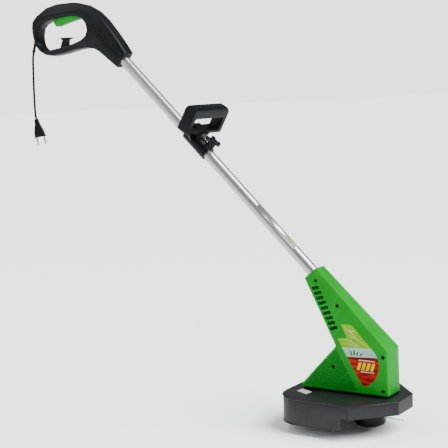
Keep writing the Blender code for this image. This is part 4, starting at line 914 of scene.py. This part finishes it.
def guard_bead(name, points, width):
    """A round bead of that width in millimetres, along points in millimetres from the spindle."""
    bead = bevelled_curve(name, [HEAD + point * MM for point in points], width * MM, 4)
    dress(bead, LOOK["guard_black"])
    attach(bead, "frame")


guard_bead("deck_rim", [*deck, deck[0]], 2.6)
for side, hand in SIDES:
    guard_bead(f"corner_ridge_{hand}", [Vector((9.6, side * 110.4, -z)) for z in (1, 14, 28.4)], 3.4)
print("a rim round the deck and a ridge at each corner")

FILM_CORNERS = [(-150.0, -50.0), (-146.5, -31.5), (-114.5, -45.5), (-118.5, -64.5)]
film = bmesh.new()
low = [film.verts.new(HEAD + Vector((x, y, 0.05)) * MM) for x, y in FILM_CORNERS]
high = [film.verts.new(HEAD + Vector((x, y, 0.2)) * MM) for x, y in FILM_CORNERS]
film.faces.new(low)
film.faces.new(high)
for i in range(4):
    film.faces.new((low[i], low[(i + 1) % 4], high[(i + 1) % 4], high[i]))
mesh_object("deck_film", film, INK_WHITE, "frame")
print("guard lip of", len(skirt), "stations")

# %% [markdown]
# ## The plug
# A moulded two-pin plug swells from the cord's neck to a flat oval foot. The solid stands in for it as
# a bevelled plate; the visible one is lofted through rounded sections, with an oval hold ringed by
# a bead on each broad face, ridges across it and a small ear at each side of the foot.

# %% Plug body
PLUG_TOP = Vector((-141.2, 0, -259))
PLUG_TURN = Matrix.Rotation(math.radians(35), 4, "Z") @ Matrix.Rotation(math.radians(-9.3), 4, "Y")
PLUG_STATIONS = [  # down from the neck, half the width, half the thickness
    (0, 5.0, 4.6), (1.2, 5.4, 5.0), (4, 5.6, 5.2), (8, 5.8, 5.4), (12, 6.3, 5.8), (17, 7.8, 6.3), (22, 9.5, 6.7),
    (28, 11.3, 6.9), (33, 12.6, 7.0), (38, 13.3, 7.0), (43, 13.5, 7.0), (46, 13.5, 6.9), (46.7, 13.2, 6.6),
    (47, 12.6, 6.0)]
PLUG_SIDES = 40


def on_plug(x, y, down):
    """A point of the plug, in metres, from millimetres across, out and down from its neck."""
    return (PLUG_TOP + (PLUG_TURN @ Vector((x, y, -down)))) * MM


def plug_shell():
    """The plug's body, lofted through rounded sections."""
    mesh = bmesh.new()
    rings = []
    for down, wide, deep in PLUG_STATIONS:
        ring = []
        for step in range(PLUG_SIDES):
            angle = 2 * math.pi * step / PLUG_SIDES
            c, s = math.cos(angle), math.sin(angle)
            ring.append(mesh.verts.new(on_plug(math.copysign(abs(c) ** 0.6, c) * wide,
                                               math.copysign(abs(s) ** 0.6, s) * deep, down)))
        rings.append(ring)
    for first, second in zip(rings, rings[1:]):
        for i in range(PLUG_SIDES):
            j = (i + 1) % PLUG_SIDES
            mesh.faces.new((first[i], first[j], second[j], second[i]))
    mesh.faces.new(rings[0])
    mesh.faces.new(rings[-1])
    made = mesh_object("plug_shell", mesh, LOOK["sheath_black"], "frame")
    made.data.shade_smooth()
    made.data.set_sharp_from_angle(angle=math.radians(50))
    return made


plug = plug_shell()
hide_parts("plug_body")

# %% Plug ears and oval holds
ears = bmesh.new()
for side in (-1, 1):
    spots = [(side * 12.5, 42.8), (side * 15.6, 43.6), (side * 15.6, 46.4), (side * 12.5, 46.8)]
    near = [ears.verts.new(on_plug(x, -4.2, down)) for x, down in spots]
    far = [ears.verts.new(on_plug(x, 4.2, down)) for x, down in spots]
    ears.faces.new(near)
    ears.faces.new(far)
    for i in range(4):
        ears.faces.new((near[i], near[(i + 1) % 4], far[(i + 1) % 4], far[i]))
plug_ears = mesh_object("plug_ears", ears, LOOK["sheath_black"], "frame")
bevel_edges(plug_ears, 0.6)

OVAL_WIDE, OVAL_LONG, OVAL_DOWN = 5.6, 8.5, 33.5  # half width, half length and middle of the oval hold


def plug_bead(name, points, width, sides):
    """A raised line on the plug, of that width in millimetres."""
    bead = bevelled_curve(name, points, width * MM, sides)
    dress(bead, LOOK["sheath_black"])
    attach(bead, "frame")


for face, side in (("near", -1), ("far", 1)):
    oval = []
    for step in range(41):
        angle = 2 * math.pi * step / 40
        oval.append(on_plug(OVAL_WIDE * math.cos(angle), side * 7.0, OVAL_DOWN + OVAL_LONG * math.sin(angle)))
    plug_bead(f"plug_bead_{face}", oval, 1.3, 3)
    for number in range(4):
        down = 28.5 + number * 3.4
        reach = 4.3 * math.sqrt(max(0.1, 1 - ((down - OVAL_DOWN) / OVAL_LONG) ** 2))
        line = [on_plug(-reach + 2 * reach * step / 6, side * 6.95, down) for step in range(7)]
        plug_bead(f"plug_ridge_{face}_{number}", line, 0.9, 2)
print("an oval bead and four ridges on each face of the plug")
